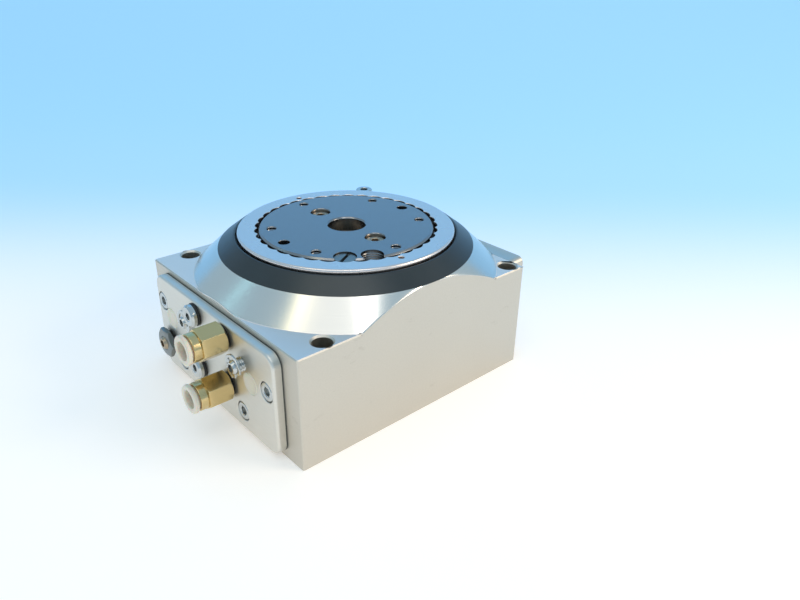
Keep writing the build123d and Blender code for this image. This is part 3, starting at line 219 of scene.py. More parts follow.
def slab(name, low, high):
    """A rectangular block between two corners."""
    only(None)
    middle = [(a + b) / 2 * MM for a, b in zip(low, high)]
    size = [(b - a) * MM for a, b in zip(low, high)]
    bpy.ops.mesh.primitive_cube_add(size=1, location=middle, scale=size)
    piece = bpy.context.object
    piece.name = name
    bpy.ops.object.transform_apply(location=True, rotation=True, scale=True)
    return piece


def carve(piece, tool, operation="DIFFERENCE", crossing=False):
    """Cuts a tool out of a piece, joins it on, or keeps what both share."""
    only(piece)
    bpy.ops.object.modifier_add(type="BOOLEAN")
    cut = piece.modifiers[-1]
    cut.operation = operation
    cut.solver = "EXACT"
    cut.use_self = crossing
    cut.object = tool
    bpy.ops.object.modifier_apply(modifier=cut.name)
    bpy.data.objects.remove(tool)
    return piece


def joined(pieces, name):
    """Makes one object of several, each still its own shell."""
    only(None)
    for piece in pieces:
        piece.select_set(True)
    bpy.context.view_layer.objects.active = pieces[0]
    if len(pieces) > 1:
        bpy.ops.object.join()
    result = bpy.context.object
    result.name = name
    result.data.name = name
    return result


def copies(piece, spots, name):
    """Copies a piece, each with its own mesh, to several spots, and joins them."""
    made = []
    for spot in spots:
        twin = piece.copy()
        twin.data = piece.data.copy()
        bpy.context.scene.collection.objects.link(twin)
        twin.data.transform(Matrix.Translation(Vector(spot) * MM))
        made.append(twin)
    bpy.data.objects.remove(piece)
    return joined(made, name)


def soften(piece, width, angle):
    """Breaks the edges that are sharper than an angle with a narrow bevel."""
    only(piece)
    bpy.ops.object.modifier_add(type="BEVEL")
    bevel = piece.modifiers[-1]
    bevel.width = width * MM
    bevel.segments = BEVEL_STEPS
    bevel.limit_method = "ANGLE"
    bevel.angle_limit = math.radians(angle)
    bevel.use_clamp_overlap = False
    bpy.ops.object.modifier_apply(modifier=bevel.name)
    return piece


def hold_inside(piece, low, high):
    """Brings back any point that a bevel pushed out past the stock's faces."""
    for vertex in piece.data.vertices:
        for side, (least, most) in enumerate(zip(low, high)):
            vertex.co[side] = min(max(vertex.co[side], least * MM), most * MM)


def ready(piece, body, material, nodes, angle=28):
    """Smooths a finished piece, gives it its finish, parents it to its body and hides the CAD
    parts it replaces.
    """
    only(piece)
    bpy.ops.object.shade_smooth_by_angle(angle=math.radians(angle))
    bpy.ops.object.modifier_add(type="WEIGHTED_NORMAL")
    even = piece.modifiers[-1]
    even.keep_sharp = True
    bpy.ops.object.modifier_apply(modifier=even.name)
    piece.data.materials.clear()
    piece.data.materials.append(material)
    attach(piece, body)
    if nodes:
        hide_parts(*nodes)
    piece.data.calc_loop_triangles()
    print(piece.name, "has", len(piece.data.loop_triangles), "triangles")
    return piece


def around(radius, angle):
    """The point at that radius and angle in degrees, on the table."""
    return (radius * math.cos(math.radians(angle)), radius * math.sin(math.radians(angle)))


# %% [markdown]
# Finishes come from node trees, which are easier to read as sums than as a list of
# links. A small class wraps a socket, so that adding or multiplying two of them adds
# the Math node that does it. Everything else is made by one method that takes the
# node's type, its settings and what goes into its sockets.

# %% Shader helpers
class Signal:
    """A socket that can be used in sums."""

    def __init__(self, finish, socket):
        self.finish = finish
        self.socket = socket

    def maths(self, operation, first, second):
        return self.finish.maths_node(operation, first, second)

    def __add__(self, other):
        return self.maths("ADD", self, other)

    def __radd__(self, other):
        return self.maths("ADD", other, self)

    def __sub__(self, other):
        return self.maths("SUBTRACT", self, other)

    def __rsub__(self, other):
        return self.maths("SUBTRACT", other, self)

    def __mul__(self, other):
        return self.maths("MULTIPLY", self, other)

    def __rmul__(self, other):
        return self.maths("MULTIPLY", other, self)


class Finish:
    """One material, built from the surface shader outwards."""

    def __init__(self, name, **constants):
        self.material = bpy.data.materials.new(name)
        self.material.use_nodes = True
        self.tree = self.material.node_tree
        self.surface = self.tree.nodes["Principled BSDF"]
        for socket, value in constants.items():
            self.surface.inputs[socket.replace("_", " ")].default_value = value

    def node(self, kind, settings=None, inputs=None, output=0):
        made = self.tree.nodes.new(kind)
        for key, value in (settings or {}).items():
            setattr(made, key, value)
        for key, value in (inputs or {}).items():
            if isinstance(value, Signal):
                self.tree.links.new(value.socket, made.inputs[key])
            else:
                made.inputs[key].default_value = value
        return Signal(self, made.outputs[output])

    def maths_node(self, operation, first, second):
        return self.node("ShaderNodeMath", {"operation": operation}, {0: first, 1: second})

    def feed(self, socket, signal):
        self.tree.links.new(signal.socket, self.surface.inputs[socket])

    def object_point(self, stretch=(1, 1, 1), turn=(0, 0, 0)):
        point = self.node("ShaderNodeTexCoord", output="Object")
        return self.node(
            "ShaderNodeMapping", {}, {"Vector": point, "Scale": stretch, "Rotation": turn}
        )

    def noise(self, scale, detail=3.0, stretch=(1, 1, 1), turn=(0, 0, 0), roughness=0.5):
        point = self.object_point(stretch, turn)
        return self.node(
            "ShaderNodeTexNoise",
            {},
            {"Vector": point, "Scale": scale, "Detail": detail, "Roughness": roughness},
        )

    def between(self, low, high, share):
        """A number that runs from low to high as the share runs from 0 to 1."""
        return share * (high - low) + low

    def blend(self, share, one, other):
        """A colour between two others."""
        return self.node(
            "ShaderNodeMix",
            {"data_type": "RGBA"},
            {0: share, 6: one, 7: other},
            output=2,
        )

    def bump(self, height, strength, distance):
        return self.node(
            "ShaderNodeBump",
            {},
            {"Height": height, "Strength": strength, "Distance": distance},
        )


def colour(red, green, blue):
    return (red, green, blue, 1.0)


# %% [markdown]
# The block, the plates and the ring are aluminium with a satin surface. Under a lens
# it is a mat of fine scratches: their reflections smear into a soft sheen, and the
# colour drifts a little where the metal was handled. Two noises do that, one stretched
# along the cutting direction for the grain, one broad for the drift.

# %% Metal finishes
SCRATCH_SCALE = 1400.0
DRIFT_SCALE = 38.0
SCRATCH_DEPTH = 0.04 * MM


def satin_metal(name, base, dark, rough, grain, turn=(0, 0, 0), strength=0.12, twist=0.0):
    """Metal with a fine directional grain and a slow drift of tone."""
    finish = Finish(name, Metallic=1.0, Anisotropic=twist)
    fine = finish.noise(SCRATCH_SCALE, 3.0, grain, turn, 0.6)
    broad = finish.noise(DRIFT_SCALE, 4.0)
    share = finish.between(0.0, 0.55, fine) + finish.between(0.0, 0.45, broad)
    finish.feed("Base Color", finish.blend(share, colour(*dark), colour(*base)))
    finish.feed("Roughness", finish.between(rough - 0.05, rough + 0.07, broad))
    finish.feed("Normal", finish.bump(fine, strength, SCRATCH_DEPTH))
    return finish.material


plate_finish = satin_metal(
    "milled_plate", (0.80, 0.77, 0.70), (0.68, 0.65, 0.60), 0.42, (0.15, 0.15, 1.0), strength=0.1
)
ring_finish = satin_metal(
    "turned_ring", (0.84, 0.76, 0.72), (0.74, 0.67, 0.65), 0.26, (1, 1, 0.1), twist=0.4
)
steel_finish = satin_metal(
    "ground_steel", (0.32, 0.32, 0.33), (0.24, 0.25, 0.26), 0.24, (0.12, 1, 1), (0, 0, 0.7)
)
hub_finish = satin_metal(
    "turned_steel", (0.66, 0.63, 0.60), (0.52, 0.50, 0.48), 0.32, (1, 1, 0.1), twist=0.4
)
bearing_finish = satin_metal(
    "bearing_steel", (0.66, 0.67, 0.69), (0.58, 0.58, 0.60), 0.14, (1, 1, 0.2), strength=0.03
)
zinc_finish = satin_metal(
    "zinc_plate", (0.70, 0.70, 0.68), (0.46, 0.48, 0.48), 0.20, (1, 1, 1), strength=0.05
)
brass_finish = satin_metal(
    "turned_brass", (0.77, 0.60, 0.31), (0.60, 0.46, 0.22), 0.20, (0.1, 1, 1), strength=0.06
)
bronze_finish = satin_metal(
    "bronze", (0.62, 0.50, 0.36), (0.34, 0.26, 0.18), 0.38, (1, 1, 1), strength=0.2
)
black_steel_finish = satin_metal(
    "black_oxide", (0.30, 0.32, 0.31), (0.18, 0.19, 0.19), 0.32, (1, 1, 1), strength=0.15
)

# %% [markdown]
# The block has three finishes in one piece of metal. Its sides are milled and blasted,
# so they are dull and a little darker where they were handled. Its four flats are milled,
# and they get a lighter colour, a painted sheen for the pale sky they mirror. Its cone is
# turned, so it is smoother and carries the rings of the tool. Where a point belongs to
# the cone or to a flat can be told from its place alone: its height, and that it lies
# inside the four sides. That gives two masks. The cone's mask drives the gloss, the tone
# and the bump, and the flats' mask drives only the painted sheen. A point's distance from
# the axis draws the rings.

# %% The block's finish
RING_SCALE = 2600.0
CONE_LEVEL = 40.1
FLAT_LEVEL = 39.95
SIDE_LEVEL = 45.9


def above(finish, value, level):
    """One where a value in metres is over a level in millimetres, and zero below."""
    return finish.maths_node("GREATER_THAN", value, level * MM)


def block_metal():
    """Blasted sides, flats with a painted sheen and a turned cone, told apart by two masks."""
    finish = Finish("milled_aluminium", Metallic=1.0, Anisotropic=0.45)
    point = finish.node("ShaderNodeTexCoord", output="Object")
    x, y, z = (finish.node("ShaderNodeSeparateXYZ", {}, {0: point}, output=k) for k in range(3))
    inside = finish.maths_node("ABSOLUTE", y, 0.0)
    within = (1 - above(finish, inside, SIDE_LEVEL)) * (1 - above(finish, x, SIDE_LEVEL))
    cone = above(finish, z, CONE_LEVEL) * within
    radius = finish.maths_node("SQRT", x * x + y * y, 0.0)
    ring_point = finish.node("ShaderNodeCombineXYZ", {}, {0: radius, 1: 0.0, 2: 0.0})
    rings = finish.node(
        "ShaderNodeTexNoise", {}, {"Vector": ring_point, "Scale": RING_SCALE, "Detail": 3.0}
    )
    fine = finish.noise(1500.0, 3.0, roughness=0.6)
    broad = finish.noise(30.0, 4.0)
    blotch = finish.noise(90.0, 5.0, (1, 1, 2), (0.4, 0.3, 0.2), 0.65)
    scuff = finish.node(
        "ShaderNodeMapRange", {}, {"Value": blotch, "From Min": 0.64, "From Max": 0.76}
    )
    tone = finish.between(0.0, 0.5, fine) + finish.between(0.0, 0.5, broad)
    sides = finish.blend(tone, colour(0.56, 0.53, 0.47), colour(0.70, 0.66, 0.59))
    sides = finish.blend(scuff * 0.5, sides, colour(0.46, 0.42, 0.36))
    turned_tone = finish.between(0.0, 0.6, rings) + finish.between(0.0, 0.4, broad)
    top = finish.blend(turned_tone, colour(0.66, 0.64, 0.60), colour(0.80, 0.77, 0.71))
    # The flats get a lighter colour, a painted sheen that stands in for the pale sky they mirror.
    painted_flat_sheen = above(finish, z, FLAT_LEVEL) * within * (1 - cone)
    sides = finish.blend(painted_flat_sheen, sides, colour(0.92, 0.82, 0.75))
    finish.feed("Base Color", finish.blend(cone, sides, top))
    dull = finish.between(0.38, 0.50, broad) + scuff * 0.08
    glossy = finish.between(0.17, 0.24, broad)
    finish.feed("Roughness", dull * (1 - cone) + glossy * cone)
    grain = fine * (1 - cone) + rings * cone
    finish.feed("Normal", finish.bump(grain, 0.10, SCRATCH_DEPTH))
    return finish.material


block_finish = block_metal()

# %% [markdown]
# The cover ring is anodised black, and the seals, caps and release rings are soft or
# moulded. None of them is a mirror, so their colour and a small change in gloss carry
# the look: rubber is grey where it was touched, and ivory plastic lets a little light
# in, which shows as a warmer tone in its thick parts.

# %% Coatings, rubber and plastic
COATING_SCALE = 60.0
PORE_SCALE = 2600.0
PORE_DEPTH = 0.03 * MM


def coated(name, base, other, rough, metallic=0.0, strength=0.05, **more):
    """A coated or moulded surface with a slow change of tone and gloss."""
    finish = Finish(name, Metallic=metallic, **more)
    broad = finish.noise(COATING_SCALE, 4.0)
    grain = finish.noise(PORE_SCALE, 2.0)
    finish.feed("Base Color", finish.blend(broad, colour(*base), colour(*other)))
    finish.feed("Roughness", finish.between(rough - 0.05, rough + 0.06, broad))
    finish.feed("Normal", finish.bump(grain, strength, PORE_DEPTH))
    return finish.material


cover_finish = coated(
    "black_anodising", (0.050, 0.058, 0.060), (0.075, 0.080, 0.080), 0.34, 0.75, strength=0.08
)
rubber_finish = coated("seal_rubber", (0.012, 0.012, 0.013), (0.03, 0.03, 0.03), 0.6)
gasket_finish = coated("gasket_sheet", (0.06, 0.06, 0.055), (0.10, 0.10, 0.09), 0.7)
ivory_finish = coated(
    "ivory_plastic",
    (0.90, 0.80, 0.65),
    (0.80, 0.69, 0.53),
    0.34,
    Subsurface_Weight=0.25,
    Subsurface_Scale=0.002,
)

# %% [markdown]
# Every solid that stays as the CAD model has it still gets a worked finish, found by
# the name of its material slot in the record.

# %% Finishes for the carried-over solids
finish_of_slot = {
    "block": block_finish,
    "cover_black": cover_finish,
    "ring_aluminium": ring_finish,
    "disc_steel": steel_finish,
    "hub_steel": hub_finish,
    "bearing_steel": bearing_finish,
    "screw_steel": zinc_finish,
    "dark_steel": black_steel_finish,
    "brass": brass_finish,
    "bronze": bronze_finish,
    "ivory_plastic": ivory_finish,
    "seal_rubber": rubber_finish,
    "gasket_grey": gasket_finish,
}
slot_of_node = {part["node"]: part["material_slot"] for part in frame["record"]["subparts"]}
for node, solid in frame["nodes"].items():
    solid.data.materials.clear()
    solid.data.materials.append(finish_of_slot[slot_of_node[node]])
print(len(frame["nodes"]), "solids have a finish")

# %% [markdown]
# The block is one piece of aluminium: sawn to length, then put in a lathe so that its
# top becomes a cone, which the four sides cut into arches. Here it is made in the same
# order. A slab gets its four corners broken, a turned solid trims it to the cone, and
# one stepped tool cuts the middle out: from the base up, the recess of the base cover,
# the seat of the lower bush, the rooms of the pinion and of the index wheel, and the
# seats of the bearing and of the ring that clamps it.

# %% The block
BLOCK_HALF = 46.0
BLOCK_HEIGHT = 40.0
DECK = 48.2
CONE_FOOT = 55.0
CONE_TOP = 46.0
CORNER_BREAK = 0.7
PAST_ALL = 90.0
COVER_RECESS = (27.05, 4.0)
BUSH_SEAT = (8.0, 13.4)
PINION_ROOM = (9.4, 28.4)
WHEEL_ROOM = (27.5, 36.0)
BEARING_SEAT = (30.0, 44.0)
CLAMP_SEAT = (36.45, DECK + 1)

block = slab("machined_block", (PORT_FACE, -BLOCK_HALF, 0), (REAR_FACE, BLOCK_HALF, DECK))
bevel_edges(block, lambda a, b: abs(a.z - b.z) > 1, CORNER_BREAK, 2)
trim = turned(
    "trim",
    [
        (0, -1),
        (PAST_ALL, -1),
        (PAST_ALL, BLOCK_HEIGHT),
        (CONE_FOOT, BLOCK_HEIGHT),
        (CONE_TOP, DECK),
        (0, DECK),
    ],
    256,
)
carve(block, trim, "INTERSECT")
bore_form = drill_outline(
    -1, COVER_RECESS, BUSH_SEAT, PINION_ROOM, WHEEL_ROOM, BEARING_SEAT, CLAMP_SEAT
)
carve(block, turned("bore", bore_form, 160))
print("block carved:", len(block.data.polygons), "faces")

# %% [markdown]
# The drilled holes are cut with tools that already have their chamfer, so each rim comes
# out with the bright ring that a countersink leaves. Two cylinders run through from end
# to end, and a groove for the dust seal runs round the deck. Then the upper edges of the
# four sides are broken. Where the bevel meets a line that runs from a corner to its
# hole, it folds a sliver of metal over, and merging the points nearest to each other
# takes that fold away. Without this the flats would show a dark scratch at each corner.

# %% Holes in the block
CORNER = (41.9, 41.5)
CORNER_RADIUS = 3.3
CORNER_CHAMFER = 0.6
CYLINDER_RADIUS = 8.0
CYLINDER_SIDE, CYLINDER_HEIGHT = 12.8, 19.2
BOLT_PLACE = (-21.5, 0, 0)
BOLT_RADIUS, BOLT_LOW, BOLT_HIGH = 3.6, 3, 29
GROOVE_INNER, GROOVE_OUTER, GROOVE_FLOOR = 37.15, 38.45, 47.2
UPPER_BREAK = 0.38
FOLD = 0.26
BESIDE = 0.8
CORNER_REACH = 1.5

drill_form = drill_outline(-1, (CORNER_RADIUS, BLOCK_HEIGHT), chamfer=CORNER_CHAMFER)
drill = turned("drill", drill_form, 64)
corner_spots = [(sx * CORNER[0], sy * CORNER[1], 0) for sx in (-1, 1) for sy in (-1, 1)]
carve(block, copies(drill, corner_spots, "drills"))
for side in (-1, 1):
    cylinder = turned("cylinder", drill_outline(-1, (CYLINDER_RADIUS, 101)), 96)
    place(cylinder, (REAR_FACE, side * CYLINDER_SIDE, CYLINDER_HEIGHT), PORT)
    carve(block, cylinder)
bolt_bore = turned("bolt_bore", drill_outline(BOLT_LOW, (BOLT_RADIUS, BOLT_HIGH)), 48)
carve(block, place(bolt_bore, BOLT_PLACE))
groove_form = ring_section(GROOVE_INNER, GROOVE_OUTER, GROOVE_FLOOR, DECK + 0.8)
carve(block, turned("groove", groove_form, 160))


def near_side(point, reach):
    """True within that reach of a long side, and of an end."""
    at_end = point.x < PORT_FACE + reach or point.x > REAR_FACE - reach
    return abs(point.y) > BLOCK_HALF - reach, at_end


def on_outline(point):
    """True on the four sides, above the foot of the cone."""
    return any(near_side(point, BESIDE)) and point.z > BLOCK_HEIGHT - 0.01


def at_corner(point):
    """True at the four corners of the flats."""
    return all(near_side(point, CORNER_REACH)) and abs(point.z - BLOCK_HEIGHT) < 0.5


bevel_edges(
    block,
    lambda a, b: on_outline(a) and on_outline(b) and min(a.z, b.z) < DECK - 0.1,
    UPPER_BREAK,
    1,
)
pick_edges(block, lambda a, b: at_corner(a) and at_corner(b))
bpy.ops.mesh.remove_doubles(threshold=FOLD * MM)
bpy.ops.object.mode_set(mode="OBJECT")
hold_inside(block, (PORT_FACE, -BLOCK_HALF, 0), (REAR_FACE, BLOCK_HALF, DECK))
ready(block, "base", block_finish, ["housing"], 32)

# %% [markdown]
# The black ring carries the cone's slope on up to the table. It is a plain turned part,
# and only its two top edges are broken.

# %% The black cover ring
COVER_TOP = 52.6
COVER_RIM = 40.2
COVER_BORE = 39.6
cover = turned(
    "black_cover_ring",
    [
        (CONE_TOP, DECK),
        (CONE_TOP, DECK + 0.12),
        (COVER_RIM + 0.25, COVER_TOP - 0.1),
        (COVER_RIM, COVER_TOP),
        (COVER_BORE + 0.25, COVER_TOP),
        (COVER_BORE, COVER_TOP - 0.2),
        (COVER_BORE, DECK),
        (CONE_TOP, DECK),
    ],
    256,
)
ready(cover, "base", cover_finish, ["cover_ring"])

# %% [markdown]
# The scalloped ring turns with the table and is held by the slotted key screw, which
# sits half in one of its notches. It is made as a workshop would make it: a turned blank
# is drilled inside with thirty-six equal, overlapping holes, and what stays between
# them are the cusps. One drill is copied round the axis, and it is a little wider at
# the top, which leaves the bright broken edge.

# %% The scalloped ring
NOTCHES = 36
KEY_CIRCLE = 28.9
NOTCH_RADIUS = 4.0
KEY_ANGLE = -129.0
RING_LOW = 50.4
RING_HIGH = 54.0
RING_OUTER = 39.0
RING_BLANK = 30.0
ROUND = 0.9
EDGE = 0.15
SPANNER_CIRCLE = 34.6
SPANNER_ANGLES = (85.0, -97.0)
edge_round = [
    (RING_OUTER - ROUND + ROUND * math.sin(t), RING_HIGH - ROUND + ROUND * math.cos(t))
    for t in [math.pi / 2 * (1 - step / 8) for step in range(9)]
]
ring = turned(
    "scalloped_ring",
    [(RING_BLANK, RING_LOW), (RING_OUTER - 0.3, RING_LOW), (RING_OUTER, RING_LOW + 0.3)]
    + edge_round
    + [(RING_BLANK, RING_HIGH), (RING_BLANK, RING_LOW)],
    256,
)
notch_form = drill_outline(RING_LOW - 1, (NOTCH_RADIUS, RING_HIGH), chamfer=EDGE)
notch_drill = turned("notch_drill", notch_form, 60)
notch_spots = [
    (*around(KEY_CIRCLE, KEY_ANGLE + 360 / NOTCHES * step), 0) for step in range(NOTCHES)
]
carve(ring, copies(notch_drill, notch_spots, "notch_drills"), crossing=True)
print("scalloped ring:", len(ring.data.polygons), "faces")
spanner = turned("spanner", [(0, 52), (1.05, 52), (1.05, 53.8), (1.3, 54.1), (0, 54.1)], 32)
spanner_spots = [(*around(SPANNER_CIRCLE, angle), 0) for angle in SPANNER_ANGLES]
carve(ring, copies(spanner, spanner_spots, "spanners"))
ready(ring, "table", ring_finish, ["setting_ring"], 26)

# %% [markdown]
# The steel disc takes the load. It is turned, then drilled: six tapped holes, two dowel
# holes, two counterbores for the screws that hold it, and two tapped bores at the rim,
# one of which takes the key screw. A tapped hole is cut with a tool whose side is a row
# of ridges, so the thread is there in the shape and not only in the shading.

# %% The load disc
DISC_LOW = 49.0
DISC_HIGH = 54.3
DISC_RADIUS = 31.4
CENTRE_RADIUS = 6.7
LOAD_CIRCLE = 26.87
LOAD_ANGLES = (30.0, 90.0, 150.0, 210.0, 270.0, 330.0)
DOWEL_ANGLES = (0, 180)
HOLDING_SCREWS = [(0, 16), (0, -16)]
COUNTERBORE_FLOOR = 50.4
NEIGHBOUR_ANGLE = -111.0
TAP_CORE, TAP_CREST, TAP_PITCH = 1.65, 1.9, 0.7
KEY_TAP_CORE, KEY_TAP_CREST, KEY_TAP_PITCH = 3.85, 4.1, 0.8


def threaded_side(core, crest, pitch, low, high):
    """Ridges for the side of a hole or screw, from low to high."""
    points = []
    height = low
    while height < high - pitch:
        points += [(core, height), (crest, height + pitch / 2)]
        height += pitch
    return points + [(core, high)]


disc = turned(
    "steel_load_disc",
    [
        (CENTRE_RADIUS, DISC_LOW),
        (DISC_RADIUS - 0.2, DISC_LOW),
        (DISC_RADIUS, DISC_LOW + 0.2),
        (DISC_RADIUS, DISC_HIGH - 0.6),
        (DISC_RADIUS - 0.6, DISC_HIGH),
        (CENTRE_RADIUS + 0.5, DISC_HIGH),
        (CENTRE_RADIUS, DISC_HIGH - 0.5),
        (CENTRE_RADIUS, DISC_LOW),
    ],
    256,
)
tap = turned(
    "tap",
    [(0, 48)]
    + threaded_side(TAP_CORE, TAP_CREST, TAP_PITCH, 48, DISC_HIGH - 0.35)
    + [(2.05, DISC_HIGH + OVERCUT), (0, DISC_HIGH + OVERCUT)],
    32,
)
carve(disc, copies(tap, [(*around(LOAD_CIRCLE, a), 0) for a in LOAD_ANGLES], "taps"))
reamer = turned("reamer", drill_outline(49.3, (2.0, DISC_HIGH), chamfer=0.15), 32)
carve(disc, copies(reamer, [(*around(LOAD_CIRCLE, a), 0) for a in DOWEL_ANGLES], "reamers"))
step_form = drill_outline(48, (2.05, COUNTERBORE_FLOOR), (3.6, DISC_HIGH), chamfer=0.3)
step_drill = turned("step_drill", step_form, 48)
carve(disc, copies(step_drill, [(x, y, 0) for x, y in HOLDING_SCREWS], "step_drills"))
key_tap = turned(
    "key_tap",
    [(0, 48)]
    + threaded_side(KEY_TAP_CORE, KEY_TAP_CREST, KEY_TAP_PITCH, 48, DISC_HIGH + OVERCUT)
    + [(0, DISC_HIGH + OVERCUT)],
    48,
)
key_spots = [(*around(KEY_CIRCLE, a), 0) for a in (KEY_ANGLE, NEIGHBOUR_ANGLE)]
carve(disc, copies(key_tap, key_spots, "key_taps"))
soften(disc, 0.08, 40)
ready(disc, "table", steel_finish, ["load_disc"], 30)

# %% [markdown]
# Two screws hold the disc down. Each is a turned head with a six-sided socket, and a
# socket is simply a six-sided bar cut away.


# %% Socket screws
HEAD_BREAK = 0.25
SOCKET_RIM = 0.18


def socket_screw(name, head, height, socket, shank, length):
    """A screw whose head stands on height 0, with its shank below."""
    screw = turned(
        name,
        [
            (0, -length),
            (shank - 0.4, -length),
            (shank, -length + 0.4),
            (shank, 0),
            (head - 0.1, 0),
            (head, 0.1),
            (head, height - HEAD_BREAK),
            (head - HEAD_BREAK, height),
            (socket / 2 + 0.45, height),
            (socket / 2 + 0.25, height - SOCKET_RIM),
            (0, height - SOCKET_RIM),
        ],
        48,
    )
    carve(screw, hexagon("key", socket, height * 0.4, height + 1))
    return screw


disc_screw = socket_screw("disc_screw", 3.3, 2.8, 2.5, 2.0, 5.5)
disc_screw_spots = [(x, y, COUNTERBORE_FLOOR) for x, y in HOLDING_SCREWS]
disc_screws = copies(disc_screw, disc_screw_spots, "disc_holding_screws")
ready(disc_screws, "table", bronze_finish, ["load_disc_screws"])

# %% [markdown]
# The key screw is a short stud with a slot. The slot is a slab cut across its top, which
# leaves two half moons, and the chamfer round them catches the light in two arcs.

# %% The key screw
KEY_LOW, KEY_TOP = 50.45, 53.8
KEY_RADIUS, KEY_BREAK = 3.95, 0.35
SLOT_HALF, SLOT_DEPTH, SLOT_TURN = 0.55, 1.4, -60
key = turned(
    "slotted_key",
    [
        (0, KEY_LOW),
        (KEY_RADIUS - KEY_BREAK, KEY_LOW),
        (KEY_RADIUS, KEY_LOW + KEY_BREAK),
        (KEY_RADIUS, KEY_TOP - KEY_BREAK),
        (KEY_RADIUS - KEY_BREAK, KEY_TOP),
        (0, KEY_TOP),
    ],
    64,
)
slot_cut = slab("slot_cut", (-SLOT_HALF, -5, KEY_TOP - SLOT_DEPTH), (SLOT_HALF, 5, KEY_TOP + 1))
carve(key, place(slot_cut, (0, 0, 0), (0, 0, math.radians(SLOT_TURN))))
soften(key, 0.08, 40)
place(key, (*around(KEY_CIRCLE, KEY_ANGLE), 0))
ready(key, "key", black_steel_finish, ["key_screw"])

# %% [markdown]
# Down the centre hole sits a bronze bush with a threaded bore. It is the brown that
# shows inside the bright rim.

# %% The centre bush
BUSH_LOW, BUSH_HIGH = 44.0, 48.6
BUSH_OUTER, BUSH_INNER = 6.5, 5.7
bush_thread = threaded_side(BUSH_INNER, 5.1, 1.0, BUSH_LOW + 0.2, BUSH_HIGH - 0.2)
bush = turned(
    "threaded_centre_bush",
    [
        (BUSH_OUTER, BUSH_LOW),
        (BUSH_OUTER, BUSH_HIGH - 0.2),
        (BUSH_OUTER - 0.2, BUSH_HIGH),
        (BUSH_INNER, BUSH_HIGH),
        *[(radius, BUSH_LOW + BUSH_HIGH - height) for radius, height in bush_thread],
        (BUSH_INNER, BUSH_LOW),
        (BUSH_OUTER, BUSH_LOW),
    ],
    96,
)
ready(bush, "table", bronze_finish, ["centre_bush"])

# %% [markdown]
# The port plate is a thin plate with round corners and a rolled front edge, screwed on
# over a gasket. A slab gets its four corners bevelled first and its front rim second,
# so the small round runs evenly round the large ones.

# %% The port plate
PLATE_BACK = -54.4
PLATE_FRONT = -57.4
PLATE_OUT = PORT_FACE - PLATE_FRONT
PLATE_LOW, PLATE_HIGH = 1.5, 38.2
PLATE_RIGHT, PLATE_LEFT = -38.0, 39.0
PLATE_CORNER, PLATE_ROUND = 4.5, 0.9
PORTS = [(-9.5, 33.3), (-9.5, 15.3), (9.5, 33.3), (9.5, 13.0)]
FLOW_SPOTS = [(-19.5, 27.7), (17.3, 27.2)]
PLATE_SCREWS = [(-33.3, 24.3), (-17.5, 8.6), (35.0, 28.2), (24.5, 7.8)]
CAPS = [(-24.0, 22.5), (29.2, 23.4)]
STOP_SPOT = (32.4, 12.8)
SCREW_SEAT = 0.9
CAP_SEAT, CAP_RADIUS = 1.4, 3.9

plate_low = (PLATE_FRONT, PLATE_RIGHT, PLATE_LOW)
plate = slab("port_face_plate", plate_low, (PLATE_BACK, PLATE_LEFT, PLATE_HIGH))
bevel_edges(plate, lambda a, b: abs(a.x - b.x) > 1, PLATE_CORNER, 14)
bevel_edges(plate, lambda a, b: max(a.x, b.x) < PLATE_FRONT + 0.01, PLATE_ROUND, 6)

port_drills = (
    (drill_outline(0, (2.5, 4)), PORTS + FLOW_SPOTS + [STOP_SPOT]),
    (drill_outline(0, (2.0, SCREW_SEAT), (3.5, PLATE_OUT), chamfer=0.2), PLATE_SCREWS),
    (drill_outline(CAP_SEAT, (CAP_RADIUS, PLATE_OUT), chamfer=0.1), CAPS),
)
for drill_form, spots in port_drills:
    tool = place(turned("port_tool", drill_form, 48), (PORT_FACE, 0, 0), PORT)
    carve(plate, copies(tool, [(0, y, z) for y, z in spots], "port_tools"))
soften(plate, 0.06, 50)
ready(plate, "base", plate_finish, ["port_plate"], 30)

# %% [markdown]
# The plate's screws sit in counterbores, their heads just under its face. Beside them
# two ivory caps close bores that were drilled from this side. Each cap is a shallow
# button with a raised rim.

# %% Screws and caps of the port plate
plate_screw = socket_screw("plate_screw", 3.2, 2.4, 3.0, 2.0, 11.0)
place(plate_screw, (PORT_FACE - SCREW_SEAT, 0, 0), PORT)
plate_screws = copies(plate_screw, [(0, y, z) for y, z in PLATE_SCREWS], "port_face_screws")
ready(plate_screws, "base", zinc_finish, ["port_plate_screws"])

cap = turned(
    "bore_cap",
    [
        (0, CAP_SEAT),
        (CAP_RADIUS, CAP_SEAT),
        (CAP_RADIUS, 3.25),
        (CAP_RADIUS - 0.25, 3.5),
        (3.2, 3.5),
        (3.0, 3.4),
        (1.2, 3.36),
        (0, 3.36),
    ],
    64,
)
place(cap, (PORT_FACE, 0, 0), PORT)
caps = copies(cap, [(0, y, z) for y, z in CAPS], "ivory_bore_caps")
ready(caps, "base", ivory_finish, ["bore_caps"])

# %% [markdown]
# A plug is a turned head on a thread, and squeezes a black seal ring against the plate.
# The ring bulges, so its outline is round.


# %% Plugs and seal rings
SEAL_POINTS = 10
SEAL_INNER, SEAL_OUTER, SEAL_LOW, SEAL_HIGH = 2.5, 4.1, 3.4, 4.3


def seal_outline(inner, outer, low, high):
    """The round outline of a squeezed seal ring."""
    points = []
    for step in range(SEAL_POINTS + 1):
        t = 2 * math.pi * step / SEAL_POINTS
        points.append(
            (
                (inner + outer) / 2 + (outer - inner) / 2 * math.cos(t),
                (low + high) / 2 + (high - low) / 2 * math.sin(t),
            )
        )
    return points


